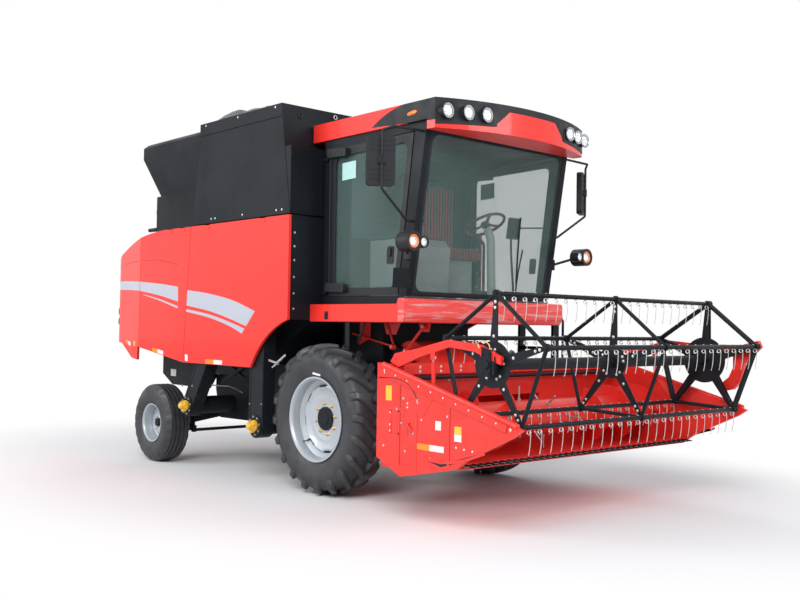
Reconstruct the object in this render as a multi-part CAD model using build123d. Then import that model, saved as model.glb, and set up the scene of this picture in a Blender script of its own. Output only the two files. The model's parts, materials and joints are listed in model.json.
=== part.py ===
from build123d import *
import os
from math import atan2, cos, pi, radians, sin

# Combine harvester with a 2.96 m grain header, wheeled, cab in front of the grain tank.
# Millimetres. +X is the way it drives, +Y its left side, +Z up. While it is modelled, x = 0 is the
# front axle and z = 0 the ground; every piece is moved along X at the end, so that the origin
# ends up on the ground under the middle of the machine.

# ---- running gear ----
FRONT_TYRE_R = 676.0
FRONT_TYRE_W = 378.0
FRONT_RIM_R = 380.0
FRONT_RIM_W = 330.0
FRONT_TRACK_HALF = 1020.0
LUG_H = 42.0
LUG_COUNT = 20
REAR_AXLE_X = -2780.0
REAR_TYRE_R = 420.0
REAR_TYRE_W = 290.0
REAR_RIM_R = 209.0
REAR_RIM_W = 250.0
REAR_TRACK_HALF = 1180.0
KINGPIN_Y = 900.0
KINGPIN_R = 24.0
TYRE_FIT = 0.3
RUN_FIT = 0.3
FRONT_HUB_R = 105.0
REAR_HUB_R = 45.0
STEER_ARM = 210.0
AXLE_TUBE_R = 95.0

# ---- body ----
BODY_HALF = 1280.0
PANEL_T = 28.0
PANEL_GAP = 7.0
BODY_FRONT_X = -310.0
PANEL_TOP_Z = 2520.0
PANEL_BOTTOM_Z = 1100.0
SEAM_TOP_X = -2055.0
SEAM_BOTTOM_X = -2185.0
HOOD_SEAM_X = -3170.0
HOOD_BACK_X = -4144.0
HOOD_CORNER_R = 400.0
CORE_HALF = 960.0
LOWER_HALF = 690.0
BEAM_Y = 740.0
BEAM_T = 80.0
BEAM_TOP_Z = 1120.0
BEAM_BOTTOM_Z = 960.0
TANK_BOTTOM_Z = 2532.0
TANK_TOP_Z = 3566.0
TANK_LIP_H = 120.0
TANK_LEFT_Y = 1010.0
TANK_RIGHT_Y = 1275.0
TANK_WALL = 20.0
ENGINE_HOOD_BOTTOM_Y = 980.0
ENGINE_HOOD_TOP_Y = 1120.0

# ---- cab ----
CAB_HALF = 930.0
CAB_WALL = 45.0
CAB_BOTTOM_Z = 1706.0
CAB_TOP_Z = 3225.0
CAB_REAR_X = -240.0
CAB_FRONT_BOTTOM_X = 895.0
CAB_FRONT_TOP_X = 1130.0
DECK_HALF = 1034.0
DECK_BOTTOM_Z = 1546.0
LEDGE_TOP_Z = 1752.0
LEDGE_FRONT_X = 1005.0
ROOF_TOP_Z = 3392.0
ROOF_HALF = 945.0
ROOF_FRONT_X = 1500.0
ROOF_SIDE_X = 1262.0
ROOF_FLARE = 24.0
ROOF_REAR_X = -408.0
DOOR_T = 36.0
GLASS_T = 6.0

# ---- header and reel ----
LIFT_X = 430.0
LIFT_Z = 1170.0
HEADER_HALF = 1500.0
SHEET_T = 40.0
HEADER_BACK_X = 1235.0
AUGER_X = 1600.0
AUGER_Z = 770.0
AUGER_TUBE_R = 150.0
AUGER_FLIGHT_R = 245.0
REEL_X = 2330.0
REEL_Z = 1260.0
REEL_R = 498.0
REEL_HALF = 1400.0
REEL_PHASE = 87.2
REEL_BARS = 5
BAR_R = 17.0
REEL_TUBE_R = 42.0
BRACE_R = 15.0
TINE_LENGTH = 190.0
REEL_SPIDERS = ((-REEL_HALF, 165.0), (0.0, 130.0), (REEL_HALF - 34.0, 200.0), (REEL_HALF, 165.0))
TINE_PITCH = 116.7
TINES_PER_HALF = 12
ARM_X = 1360.0
ARM_Z = 1254.0
GUARD_PITCH = 76.2
GUARD_TIP_X = 2190.0
CUTTER_Z = 530.0

os.makedirs("parts", exist_ok=True)
pieces = {}


# ---- helpers ----
def block(x0, x1, y0, y1, z0, z1):
    """An upright box between two corners."""
    middle = Pos((x0 + x1) / 2, (y0 + y1) / 2, (z0 + z1) / 2)
    return middle * Box(abs(x1 - x0), abs(y1 - y0), abs(z1 - z0))


def slab_y(points, y0, y1):
    """A side outline of (x, z) points, given thickness from y0 to y1."""
    outline = Polyline(*[(x, y0, z) for x, z in points], close=True)
    return extrude(make_face(outline), amount=y1 - y0, dir=(0, 1, 0))


def slab_x(points, x0, x1):
    """A front outline of (y, z) points, given thickness from x0 to x1."""
    outline = Polyline(*[(x0, y, z) for y, z in points], close=True)
    return extrude(make_face(outline), amount=x1 - x0, dir=(1, 0, 0))


def slab_z(points, z0, z1):
    """A plan outline of (x, y) points, given thickness from z0 to z1."""
    outline = Polyline(*[(x, y, z0) for x, y in points], close=True)
    return extrude(make_face(outline), amount=z1 - z0, dir=(0, 0, 1))


def rod(start, end, radius):
    """A round bar between two points."""
    run = Vector(*end) - Vector(*start)
    plane = Plane(origin=start, z_dir=run)
    return extrude(plane * Circle(radius), amount=run.length)


def disc_y(x, z, radius, y0, y1):
    """A round disc or shaft along Y."""
    return rod((x, min(y0, y1), z), (x, max(y0, y1), z), radius)


def left_of(piece):
    """The same piece on the other side of the machine."""
    return mirror(piece, about=Plane.XZ)


def both(piece):
    """A piece and its mirror image, as one node."""
    return piece + left_of(piece)


def ring_y(profile, x, z):
    """A wheel part revolved about a cross axis from (radius, y) points."""
    outline = Polyline(*[(x, y, z + r) for r, y in profile], close=True)
    return revolve(make_face(outline), axis=Axis((x, 0, z), (0, 1, 0)), revolution_arc=360)


# ---- wheels, for the right side; the left ones are mirrored ----
def front_tyre():
    """Drive tyre: a rounded carcass and two rows of slanted bars."""
    centre = -FRONT_TRACK_HALF
    half = FRONT_TYRE_W / 2
    base = FRONT_TYRE_R - LUG_H
    rim_bed = FRONT_RIM_R - 22 + TYRE_FIT
    profile = [
        (rim_bed, centre - 136), (FRONT_RIM_R + 30, centre - half + 26),
        (FRONT_RIM_R + 130, centre - half), (base - 60, centre - half + 12),
        (base, centre - half + 60), (base + 8, centre),
        (base, centre + half - 60), (base - 60, centre + half - 12),
        (FRONT_RIM_R + 130, centre + half), (FRONT_RIM_R + 30, centre + half - 26),
        (rim_bed, centre + 136),
    ]
    tyre = ring_y(profile, 0, FRONT_TYRE_R)
    step = 360 / LUG_COUNT
    lugs = []
    for side in (-1, 1):
        outer = side * (half - 6)
        inner = -side * 12
        lug = slab_z(
            [
                (-95, centre + outer), (-30, centre + outer),
                (95, centre + inner), (52, centre + inner),
            ],
            base - 78, FRONT_TYRE_R - 1,
        )
        trim = slab_x(
            [
                (centre + side * 195, base - 60), (centre + side * 195, base - 90),
                (centre - side * 30, base - 90), (centre - side * 30, base - 20),
                (centre + side * 110, base - 20), (centre + side * 150, base - 55),
            ],
            -120, 120,
        )
        lug = lug - trim
        for n in range(LUG_COUNT):
            angle = n * step + (step / 2 if side > 0 else 0)
            lugs.append(Pos(0, 0, FRONT_TYRE_R) * Rot(0, angle, 0) * lug)
    tyre = tyre + lugs
    return tyre & disc_y(0, FRONT_TYRE_R, FRONT_TYRE_R, centre - half - 5, centre + half + 5)


def front_rim():
    """Dished disc wheel with a deep outer well."""
    centre = -FRONT_TRACK_HALF
    half = FRONT_RIM_W / 2
    profile = [
        (FRONT_RIM_R, centre - half), (FRONT_RIM_R, centre - half + 14),
        (FRONT_RIM_R - 22, centre - half + 24), (FRONT_RIM_R - 22, centre - 60),
        (FRONT_RIM_R - 62, centre - 30), (FRONT_RIM_R - 62, centre + 40),
        (FRONT_RIM_R - 22, centre + 70), (FRONT_RIM_R - 22, centre + half - 24),
        (FRONT_RIM_R, centre + half - 14), (FRONT_RIM_R, centre + half),
        (FRONT_RIM_R - 34, centre + half - 4), (FRONT_RIM_R - 34, centre + 78),
        (FRONT_RIM_R - 76, centre + 48), (FRONT_RIM_R - 90, centre + 14),
        (190, centre - 6), (180, centre - 26),
        (FRONT_HUB_R + RUN_FIT, centre - 26), (FRONT_HUB_R + RUN_FIT, centre - 44),
        (190, centre - 44), (FRONT_RIM_R - 76, centre - 18),
        (FRONT_RIM_R - 76, centre - 38), (FRONT_RIM_R - 34, centre - 70),
        (FRONT_RIM_R - 34, centre - half + 4),
    ]
    return ring_y(profile, 0, FRONT_TYRE_R)


def rear_tyre():
    """Ribbed implement tyre."""
    centre = -REAR_TRACK_HALF
    half = REAR_TYRE_W / 2
    bed = REAR_RIM_R - 14 + TYRE_FIT
    top = REAR_TYRE_R
    profile = [
        (bed, centre - 106), (REAR_RIM_R + 25, centre - half + 18),
        (REAR_RIM_R + 90, centre - half), (top - 55, centre - half + 6),
        (top - 8, centre - half + 40),
    ]
    groove = 12
    for y in (-64, 0, 64):
        profile.append((top - 2, centre + y - 14))
        profile.append((top - groove, centre + y - 8))
        profile.append((top - groove, centre + y + 8))
        profile.append((top, centre + y + 14))
    profile += [
        (top - 8, centre + half - 40), (top - 55, centre + half - 6),
        (REAR_RIM_R + 90, centre + half), (REAR_RIM_R + 25, centre + half - 18),
        (bed, centre + 106),
    ]
    return ring_y(profile, REAR_AXLE_X, REAR_TYRE_R)


def rear_rim():
    """Small disc wheel of the steered axle."""
    centre = -REAR_TRACK_HALF
    half = REAR_RIM_W / 2
    profile = [
        (REAR_RIM_R, centre - half), (REAR_RIM_R, centre - half + 10),
        (REAR_RIM_R - 14, centre - half + 16), (REAR_RIM_R - 14, centre + half - 16),
        (REAR_RIM_R, centre + half - 10), (REAR_RIM_R, centre + half),
        (REAR_RIM_R - 26, centre + half - 3), (REAR_RIM_R - 26, centre - 2),
        (110, centre - 22), (REAR_HUB_R + RUN_FIT, centre - 22),
        (REAR_HUB_R + RUN_FIT, centre - 38), (112, centre - 38),
        (REAR_RIM_R - 26, centre - 18), (REAR_RIM_R - 26, centre - half + 3),
    ]
    return ring_y(profile, REAR_AXLE_X, REAR_TYRE_R)


def knuckle():
    """Steering knuckle of the right rear wheel: kingpin, fork, stub axle and steering arm."""
    z = REAR_TYRE_R
    x = REAR_AXLE_X
    hub = rod((x, -KINGPIN_Y, z - 70), (x, -KINGPIN_Y, z + 70), 46)
    hub = hub - rod((x, -KINGPIN_Y, z - 80), (x, -KINGPIN_Y, z + 80), KINGPIN_R + RUN_FIT)
    stub = disc_y(x, z, REAR_HUB_R, -(REAR_TRACK_HALF + 60), -(KINGPIN_Y + 44))
    arm = block(x + 20, x + STEER_ARM, -KINGPIN_Y - 24, -KINGPIN_Y + 24, z - 62, z - 36)
    arm = arm + rod((x + STEER_ARM, -KINGPIN_Y, z - 62), (x + STEER_ARM, -KINGPIN_Y, z - 36), 30)
    arm = arm - rod((x, -KINGPIN_Y, z - 80), (x, -KINGPIN_Y, z + 80), KINGPIN_R + RUN_FIT)
    pin = rod((x + STEER_ARM, -KINGPIN_Y, z - 108), (x + STEER_ARM, -KINGPIN_Y, z - 50), 12)
    return hub + stub + arm + pin


def tie_rod():
    """Rod between the two steering arms."""
    x = REAR_AXLE_X + STEER_ARM
    z = REAR_TYRE_R - 85
    shaft = disc_y(x, z, 17, -KINGPIN_Y + 20, KINGPIN_Y - 20)
    ends = [rod((x, s * KINGPIN_Y, z - 20), (x, s * KINGPIN_Y, z + 20), 28) for s in (-1, 1)]
    holes = [rod((x, s * KINGPIN_Y, z - 30), (x, s * KINGPIN_Y, z + 30), 12.3) for s in (-1, 1)]
    return shaft + ends - holes


def front_axle():
    """Drive axle: cross tube, gearbox, final drives and wheel hubs, on two pedestals."""
    z = FRONT_TYRE_R
    tube = disc_y(0, z, AXLE_TUBE_R, -760, 760)
    gearbox = disc_y(0, z, 170, -210, 150)
    drive = disc_y(0, z, 185, -815, -730)
    hub = disc_y(0, z, FRONT_HUB_R, -(FRONT_TRACK_HALF + 50), -800)
    pedestal = slab_y([(-150, 960), (150, 960), (110, 600), (-110, 600)], -780, -700)
    return tube + gearbox + both(drive) + both(hub) + both(pedestal)


def rear_axle():
    """Steered axle: a box beam with a fork for each kingpin, on a centre pivot."""
    x = REAR_AXLE_X
    z = REAR_TYRE_R
    beam = slab_x(
        [(-820, 400), (-820, 520), (-300, 640), (300, 640), (820, 520), (820, 400), (0, 520)],
        x - 60, x + 60,
    )
    web = block(x - 45, x + 45, -840, -790, z - 108, z + 108)
    web = web + block(x - 45, x + 45, -KINGPIN_Y - 10, -800, z + 76, z + 108)
    web = web + block(x - 45, x + 45, -KINGPIN_Y - 10, -800, z - 108, z - 76)
    web = web + rod((x, -KINGPIN_Y, z + 76), (x, -KINGPIN_Y, z + 108), 45)
    web = web + rod((x, -KINGPIN_Y, z - 108), (x, -KINGPIN_Y, z - 76), 45)
    web = web + rod((x, -KINGPIN_Y, z - 100), (x, -KINGPIN_Y, z + 100), KINGPIN_R)
    pivot = rod((x - 150, 0, 600), (x + 150, 0, 600), 45)
    return beam + both(web) + pivot


def chassis_frame():
    """Two long beams with cross members and the hanger of the steered axle."""
    rail = block(-3520, 170, -BEAM_Y - BEAM_T / 2, -BEAM_Y + BEAM_T / 2, BEAM_BOTTOM_Z, BEAM_TOP_Z)
    plate = slab_y(
        [(-3520, 1000), (-3520, 915), (-3290, 795), (-2560, 790), (-2400, 965), (-2400, 1000)],
        -BEAM_Y - BEAM_T / 2, -BEAM_Y + BEAM_T / 2,
    )
    frame = both(rail + plate)
    for x in (-3110, -2440):
        frame = frame + block(x - 40, x + 40, -BEAM_Y, BEAM_Y, BEAM_BOTTOM_Z, BEAM_TOP_Z)
    hanger = block(REAR_AXLE_X - 140, REAR_AXLE_X - 100, -110, 110, 530, BEAM_TOP_Z)
    hanger = hanger + block(REAR_AXLE_X + 100, REAR_AXLE_X + 140, -110, 110, 530, BEAM_TOP_Z)
    hanger = hanger + block(REAR_AXLE_X - 340, REAR_AXLE_X + 340, -110, 110, 1040, BEAM_TOP_Z)
    hanger = hanger - rod((REAR_AXLE_X - 160, 0, 600), (REAR_AXLE_X + 160, 0, 600), 45.3)
    return frame + hanger + rear_hitch()


HITCH_X = -3205.0
HITCH_HOLE_R = 16.5
HITCH_PLATES = ((985.0, 1001.0), (1060.0, 1076.0))


def rear_hitch():
    """Tow jaw on the rear cross member: two plates with one upright pin hole."""
    jaw = []
    for z0, z1 in HITCH_PLATES:
        plate = block(HITCH_X, -3145, -55, 55, z0, z1) + rod((HITCH_X, 0, z0), (HITCH_X, 0, z1), 55)
        jaw.append(plate - rod((HITCH_X, 0, z0 - 5), (HITCH_X, 0, z1 + 5), HITCH_HOLE_R))
    return jaw[0] + jaw[1]


# ---- body ----
def plan_outline(inset, z0, z1):
    """Plan of the body: straight sides that draw in behind the seam and round into the back."""
    y = BODY_HALF - inset
    back = HOOD_BACK_X + inset
    corner = HOOD_CORNER_R - inset
    lean = atan2(90, 630)
    bend_x = HOOD_BACK_X + HOOD_CORNER_R * (1 - sin(lean))
    bend_y = y - 90
    start = (BODY_FRONT_X, y)
    seam = (HOOD_SEAM_X, y)
    bend = (bend_x, bend_y)
    mid_angle = (lean + pi / 2) / 2
    centre = (bend_x + corner * sin(lean), bend_y - corner * cos(lean))
    middle = (centre[0] - corner * sin(mid_angle), centre[1] + corner * cos(mid_angle))
    end = (centre[0] - corner, centre[1])
    half = [
        Line((*start, z0), (*seam, z0)),
        Line((*seam, z0), (*bend, z0)),
        ThreePointArc((*bend, z0), (*middle, z0), (*end, z0)),
        Line((*end, z0), (end[0], 0, z0)),
    ]
    other = [mirror(edge, about=Plane.XZ) for edge in half]
    front = Line((start[0], start[1], z0), (start[0], -start[1], z0))
    face = make_face(half + other + [front])
    return extrude(face, amount=z1 - z0, dir=(0, 0, 1))


def side_outline(inset, y0, y1, below):
    """Side view of the body: flat top that rolls down behind, wheel arch in front."""
    top = PANEL_TOP_Z - inset
    back = HOOD_BACK_X + inset
    roll = [
        Line((BODY_FRONT_X, y0, top), (-2500, y0, top)),
        ThreePointArc((-2500, y0, top), (-3150, y0, top - 50), (-3720, y0, top - 190)),
        ThreePointArc((-3720, y0, top - 190), (-4000, y0, top - 340), (back, y0, top - 590)),
        Line((back, y0, top - 590), (back, y0, 1275 - below)),
    ]
    if below:
        low = [
            Line((back, y0, 1275 - below), (BODY_FRONT_X, y0, 1275 - below)),
            Line((BODY_FRONT_X, y0, 1275 - below), (BODY_FRONT_X, y0, top)),
        ]
    else:
        low = [
            Line((back, y0, 1275), (-3760, y0, 1268)),
            Line((-3760, y0, 1268), (-3400, y0, 1105)),
            Line((-3400, y0, 1105), (-3215, y0, 1090)),
            Line((-3215, y0, 1090), (-3205, y0, 1238)),
            Line((-3205, y0, 1238), (SEAM_BOTTOM_X, y0, PANEL_BOTTOM_Z)),
            Line((SEAM_BOTTOM_X, y0, PANEL_BOTTOM_Z), (-905, y0, PANEL_BOTTOM_Z)),
            ThreePointArc(
                (-905, y0, PANEL_BOTTOM_Z), (-660, y0, 1385), (BODY_FRONT_X, y0, 1560)
            ),
            Line((BODY_FRONT_X, y0, 1560), (BODY_FRONT_X, y0, top)),
        ]
    face = make_face(roll + low)
    return extrude(face, amount=y1 - y0, dir=(0, 1, 0))


def body_skin():
    """The whole red skin before it is split into panels."""
    outer = plan_outline(0, 1000, 2600) & side_outline(0, -BODY_HALF, BODY_HALF, 0)
    inner = plan_outline(PANEL_T, 900, 2700)
    inner = inner & side_outline(PANEL_T, -BODY_HALF, BODY_HALF, 400)
    return outer - inner


HINGE_Y = BODY_HALF - 14
HINGE_Z = PANEL_TOP_Z - 14
HINGE_PIN_R = 6.0
HINGE_STARTS = {"front": (-700, -1700), "rear": (-2200, -2460)}
HINGE_LENGTH = 90.0


def side_panel(which):
    """One hinged side panel of the right side, with its two hinge notches."""
    if which == "front":
        region = slab_y(
            [
                (BODY_FRONT_X + 5, 1000), (BODY_FRONT_X + 5, 2600),
                (SEAM_TOP_X + PANEL_GAP / 2, 2600), (SEAM_BOTTOM_X + PANEL_GAP / 2, 1000),
            ],
            -BODY_HALF - 5, -BODY_HALF + PANEL_T,
        )
    else:
        region = slab_y(
            [
                (SEAM_TOP_X - PANEL_GAP / 2, 2600), (SEAM_BOTTOM_X - PANEL_GAP / 2, 1000),
                (HOOD_SEAM_X + PANEL_GAP / 2, 1000), (HOOD_SEAM_X + PANEL_GAP / 2, 2600),
            ],
            -BODY_HALF - 5, -BODY_HALF + PANEL_T,
        )
    panel = body_skin() & region
    for x in HINGE_STARTS[which]:
        panel = panel - block(
            x - HINGE_LENGTH, x, -BODY_HALF - 1, -BODY_HALF + PANEL_T + 1,
            HINGE_Z - 34, PANEL_TOP_Z + 10,
        )
        panel = panel - disc_bore(x)
    return panel


def disc_bore(x):
    """Bores for the two stubs of one hinge pin."""
    return rod(
        (x - HINGE_LENGTH - 24, -HINGE_Y, HINGE_Z), (x + 24, -HINGE_Y, HINGE_Z),
        HINGE_PIN_R + RUN_FIT,
    )


def panel_hinge(x):
    """Hinge lug on the body, with a pin that sticks out to both sides."""
    lug = block(
        x - HINGE_LENGTH + 8, x - 8, -HINGE_Y - 9, -CORE_HALF, HINGE_Z - 9, HINGE_Z + 9
    )
    pin = rod((x - HINGE_LENGTH - 20, -HINGE_Y, HINGE_Z), (x + 20, -HINGE_Y, HINGE_Z), HINGE_PIN_R)
    return lug + pin


def rear_hood():
    """Red hood round the straw outlet, open below."""
    skin = body_skin() & block(-4300, HOOD_SEAM_X - PANEL_GAP / 2, -1400, 1400, 1000, 2600)
    cross = block(-3300, -3240, -BODY_HALF + PANEL_T, BODY_HALF - PANEL_T, 2335, 2392)
    return skin + cross


def threshing_body():
    """Black inner housing: threshing part above, cleaning shoe below, front wall and deck."""
    upper = slab_y(
        [
            (BODY_FRONT_X - 25, 1560), (BODY_FRONT_X - 25, 2490), (-2450, 2490),
            (-3240, 2380), (-3240, 1500), (-2900, 1130), (-880, 1130), (-700, 1385),
        ],
        -CORE_HALF, CORE_HALF,
    )
    throat = slab_y(
        [
            (-400, DECK_BOTTOM_Z - 0.3), (195, DECK_BOTTOM_Z - 0.3), (195, 860),
            (-150, 860), (-400, 1100),
        ],
        -560, 560,
    )
    throat = throat + block(-400, BODY_FRONT_X - 25, -560, 560, 1500, 1600)
    lower = slab_y(
        [
            (-330, 1130), (-430, 560), (-560, 505), (-2370, 480), (-2470, 780),
            (-2470, 940), (-2395, 955), (-2395, 1130),
        ],
        -LOWER_HALF, LOWER_HALF,
    )
    wall = block(BODY_FRONT_X - 25, BODY_FRONT_X, -1245, 1245, 1560, 2515)
    deck = slab_y(
        [
            (BODY_FRONT_X, 2515), (-2500, 2515), (-3165, 2440),
            (-3165, 2415), (-2500, 2490), (BODY_FRONT_X, 2490),
        ],
        -1235, 1235,
    )
    floor = block(-2900, -860, -CORE_HALF, CORE_HALF, BEAM_TOP_Z + 0.3, 1134)
    body = upper + throat + lower + wall + deck + floor
    for x in HINGE_STARTS["front"] + HINGE_STARTS["rear"]:
        body = body + both(panel_hinge(x))
    rails = block(
        -3200, 200, -BEAM_Y - BEAM_T / 2 - 0.3, -BEAM_Y + BEAM_T / 2 + 0.3,
        BEAM_BOTTOM_Z - 5, BEAM_TOP_Z + 0.3,
    )
    return body - both(rails)


def cross_conveyor(x, z):
    """Round housing that carries grain out to an elevator's foot."""
    return disc_y(x, z, 92, -LEG_IN_Y - 10, -LOWER_HALF)


GRAIN_LEG_X = -850.0
GRAIN_LEG_Z = 550.0
RETURN_LEG_X = -2135.0
RETURN_LEG_Z = 650.0
LEG_IN_Y = 1105.0
LEG_OUT_Y = 1240.0
GRAIN_LEG_HALF = 118.0
RETURN_LEG_HALF = 112.0
RETURN_LEG_LEAN = 0.6


def elevators():
    """Grain elevator, returns elevator and the riser of the unloading auger."""
    grain = block(
        GRAIN_LEG_X - GRAIN_LEG_HALF, GRAIN_LEG_X + GRAIN_LEG_HALF, -LEG_OUT_Y, -LEG_IN_Y,
        GRAIN_LEG_Z, 2489.7,
    )
    grain = grain + disc_y(GRAIN_LEG_X, GRAIN_LEG_Z, GRAIN_LEG_HALF, -LEG_OUT_Y, -LEG_IN_Y)
    grain = grain + cross_conveyor(GRAIN_LEG_X, GRAIN_LEG_Z)
    reach = (2000 - RETURN_LEG_Z) * RETURN_LEG_LEAN
    back = slab_y(
        [
            (RETURN_LEG_X - RETURN_LEG_HALF, RETURN_LEG_Z), (RETURN_LEG_X + RETURN_LEG_HALF, RETURN_LEG_Z),
            (RETURN_LEG_X + RETURN_LEG_HALF + reach, 2000), (RETURN_LEG_X - RETURN_LEG_HALF + reach, 2000),
        ],
        -LEG_OUT_Y, -LEG_IN_Y,
    )
    back = back + disc_y(RETURN_LEG_X, RETURN_LEG_Z, RETURN_LEG_HALF, -LEG_OUT_Y, -LEG_IN_Y)
    back = back + cross_conveyor(RETURN_LEG_X, RETURN_LEG_Z)
    return grain, back


def elevator_caps():
    """Yellow bearing caps at the feet of the elevators."""
    caps = []
    for x, z in ((GRAIN_LEG_X, GRAIN_LEG_Z), (RETURN_LEG_X, RETURN_LEG_Z)):
        cap = disc_y(x, z, 40, -LEG_OUT_Y - 85, -LEG_OUT_Y - 28)
        cap = cap + disc_y(x, z, 54, -LEG_OUT_Y - 28, -LEG_OUT_Y)
        caps.append(cap)
    return caps


def grain_tank():
    """Open tank: side walls lean in at front and back, with a thick lip."""
    def shell(inset, z0, z1):
        low = (TANK_BOTTOM_Z, -2030 + inset, BODY_FRONT_X - inset)
        high = (TANK_TOP_Z, -1885 + inset, -470 - inset)
        side = slab_y(
            [(low[1], low[0]), (low[2], low[0]), (high[2], high[0]), (high[1], high[0])],
            -TANK_RIGHT_Y + inset, TANK_LEFT_Y - inset,
        )
        return side & block(-2200, 0, -1400, 1400, z0, z1)

    tank = shell(0, TANK_BOTTOM_Z, TANK_TOP_Z)
    tank = tank - shell(TANK_WALL, TANK_BOTTOM_Z + 30, TANK_TOP_Z)
    band = block(-1910, -452, -TANK_RIGHT_Y - 8, TANK_LEFT_Y + 8, TANK_TOP_Z - TANK_LIP_H, TANK_TOP_Z)
    band = band - block(-1880, -480, -TANK_RIGHT_Y + 30, TANK_LEFT_Y - 30, 3000, 3700)
    seat = block(-1990, BODY_FRONT_X - 20, -1230, TANK_LEFT_Y - 20, 2515.3, TANK_BOTTOM_Z + 5)
    return tank + band + seat


def tank_cover():
    """Tarpaulin over the tank, humped towards its middle."""
    return slab_x(
        [
            (-TANK_RIGHT_Y, TANK_TOP_Z + 0.3), (TANK_LEFT_Y, TANK_TOP_Z + 0.3),
            (TANK_LEFT_Y - 60, TANK_TOP_Z + 22), (200, TANK_TOP_Z + 75),
            (-500, TANK_TOP_Z + 75), (-TANK_RIGHT_Y + 60, TANK_TOP_Z + 22),
        ],
        -1890, -520,
    )


def engine_hood():
    """Black engine housing behind the tank: box below, flared top."""
    low = block(-3380, -2040, -ENGINE_HOOD_BOTTOM_Y, ENGINE_HOOD_BOTTOM_Y, 2400, 2970)
    low = low - side_outline(-0.3, -BODY_HALF, BODY_HALF, 0)
    bottom = Plane.XY.offset(2970) * Pos(-2660, 0) * Rectangle(1240, 2 * ENGINE_HOOD_BOTTOM_Y)
    top = Plane.XY.offset(3400) * Pos(-2745, 0) * Rectangle(1430, 2 * ENGINE_HOOD_TOP_Y)
    flare = loft([bottom, top])
    cap = Pos(-2745, 0, 3485) * Box(1430, 2 * ENGINE_HOOD_TOP_Y, 170)
    cap = chamfer(cap.edges().group_by(Axis.Z)[-1], 40)
    hood = low + flare + cap
    hood = hood + rod((-3400, -950, 2595), (-3400, -950, 2920), 10)
    for z in (2600, 2900):
        hood = hood + rod((-3400, -950, z), (-3370, -950, z), 10)
    hood = hood + rod((-3600, -950, 2600), (-3400, -950, 2600), 22)
    inner = block(-3350, -2070, -ENGINE_HOOD_BOTTOM_Y + 30, ENGINE_HOOD_BOTTOM_Y - 30, 2600, 3450)
    hood = hood - inner
    for n in range(7):
        z = 2640 + n * 44
        hood = hood - block(-3200, -2240, ENGINE_HOOD_BOTTOM_Y - 40, ENGINE_HOOD_BOTTOM_Y + 20, z, z + 26)
    return hood


def engine():
    """Engine as one plain block, with its exhaust stub through the hood."""
    return block(-3150, -2250, -420, 420, 2600.3, 3250)


# ---- cab ----
def cab_side(inset):
    """Side outline of the cab shell."""
    return [
        (CAB_REAR_X + inset, CAB_BOTTOM_Z + inset),
        (CAB_FRONT_BOTTOM_X - inset, CAB_BOTTOM_Z + inset),
        (CAB_FRONT_TOP_X - inset, CAB_TOP_Z - inset),
        (CAB_REAR_X + inset, CAB_TOP_Z - inset),
    ]


def door_outline(grow):
    """Side outline of the glazed doors."""
    return [
        (-140 - grow, 1785 - grow), (725 + grow, 1785 - grow),
        (955 + grow, 3150 + grow), (-140 - grow, 3120 + grow),
    ]


def on_screen(u, v, w):
    """A point given by its place across and up the windscreen plane and its depth behind it."""
    lean = atan2(CAB_FRONT_TOP_X - CAB_FRONT_BOTTOM_X, CAB_TOP_Z - CAB_BOTTOM_Z)
    x = CAB_FRONT_BOTTOM_X + v * sin(lean) - w * cos(lean)
    z = CAB_BOTTOM_Z + v * cos(lean) + w * sin(lean)
    return (x, u, z)


def screen_slab(half, v0, v1, w0, w1):
    """A slab parallel to the windscreen."""
    corners = [on_screen(0, v0, w0), on_screen(0, v1, w0), on_screen(0, v1, w1), on_screen(0, v0, w1)]
    return slab_y([(x, z) for x, _, z in corners], -half, half)


SCREEN_HALF = 865.0
SCREEN_LOW = 85.0
SCREEN_HIGH = 1470.0
REAR_WINDOW = (-640.0, 640.0, 2350.0, 3000.0)
DOOR_HINGE_X = -170.0
DOOR_HINGE_Y = CAB_HALF + 22
DOOR_HINGES = (1855.0, 3085.0)
DOOR_HINGE_PLAY = 5.0


def cab_frame():
    """Hollow cab shell with its pillars, door openings, screen and rear window."""
    shell = slab_y(cab_side(0), -CAB_HALF, CAB_HALF)
    shell = shell - slab_y(cab_side(CAB_WALL), -CAB_HALF + CAB_WALL, CAB_HALF - CAB_WALL)
    shell = shell - slab_y(door_outline(8), -CAB_HALF - 5, -CAB_HALF + 200)
    shell = shell - slab_y(door_outline(8), CAB_HALF - 200, CAB_HALF + 5)
    shell = shell - screen_slab(SCREEN_HALF, SCREEN_LOW, SCREEN_HIGH, -30, 60)
    y0, y1, z0, z1 = REAR_WINDOW
    shell = shell - block(CAB_REAR_X - 10, CAB_REAR_X + CAB_WALL + 10, y0, y1, z0, z1)
    for z in DOOR_HINGES:
        lug = block(DOOR_HINGE_X - 50, DOOR_HINGE_X + 14, -DOOR_HINGE_Y - 12, -CAB_HALF, z - 50, z - 26)
        pin = rod((DOOR_HINGE_X, -DOOR_HINGE_Y, z - 40), (DOOR_HINGE_X, -DOOR_HINGE_Y, z + 20), 8)
        shell = shell + both(lug + pin)
    return shell


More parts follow.
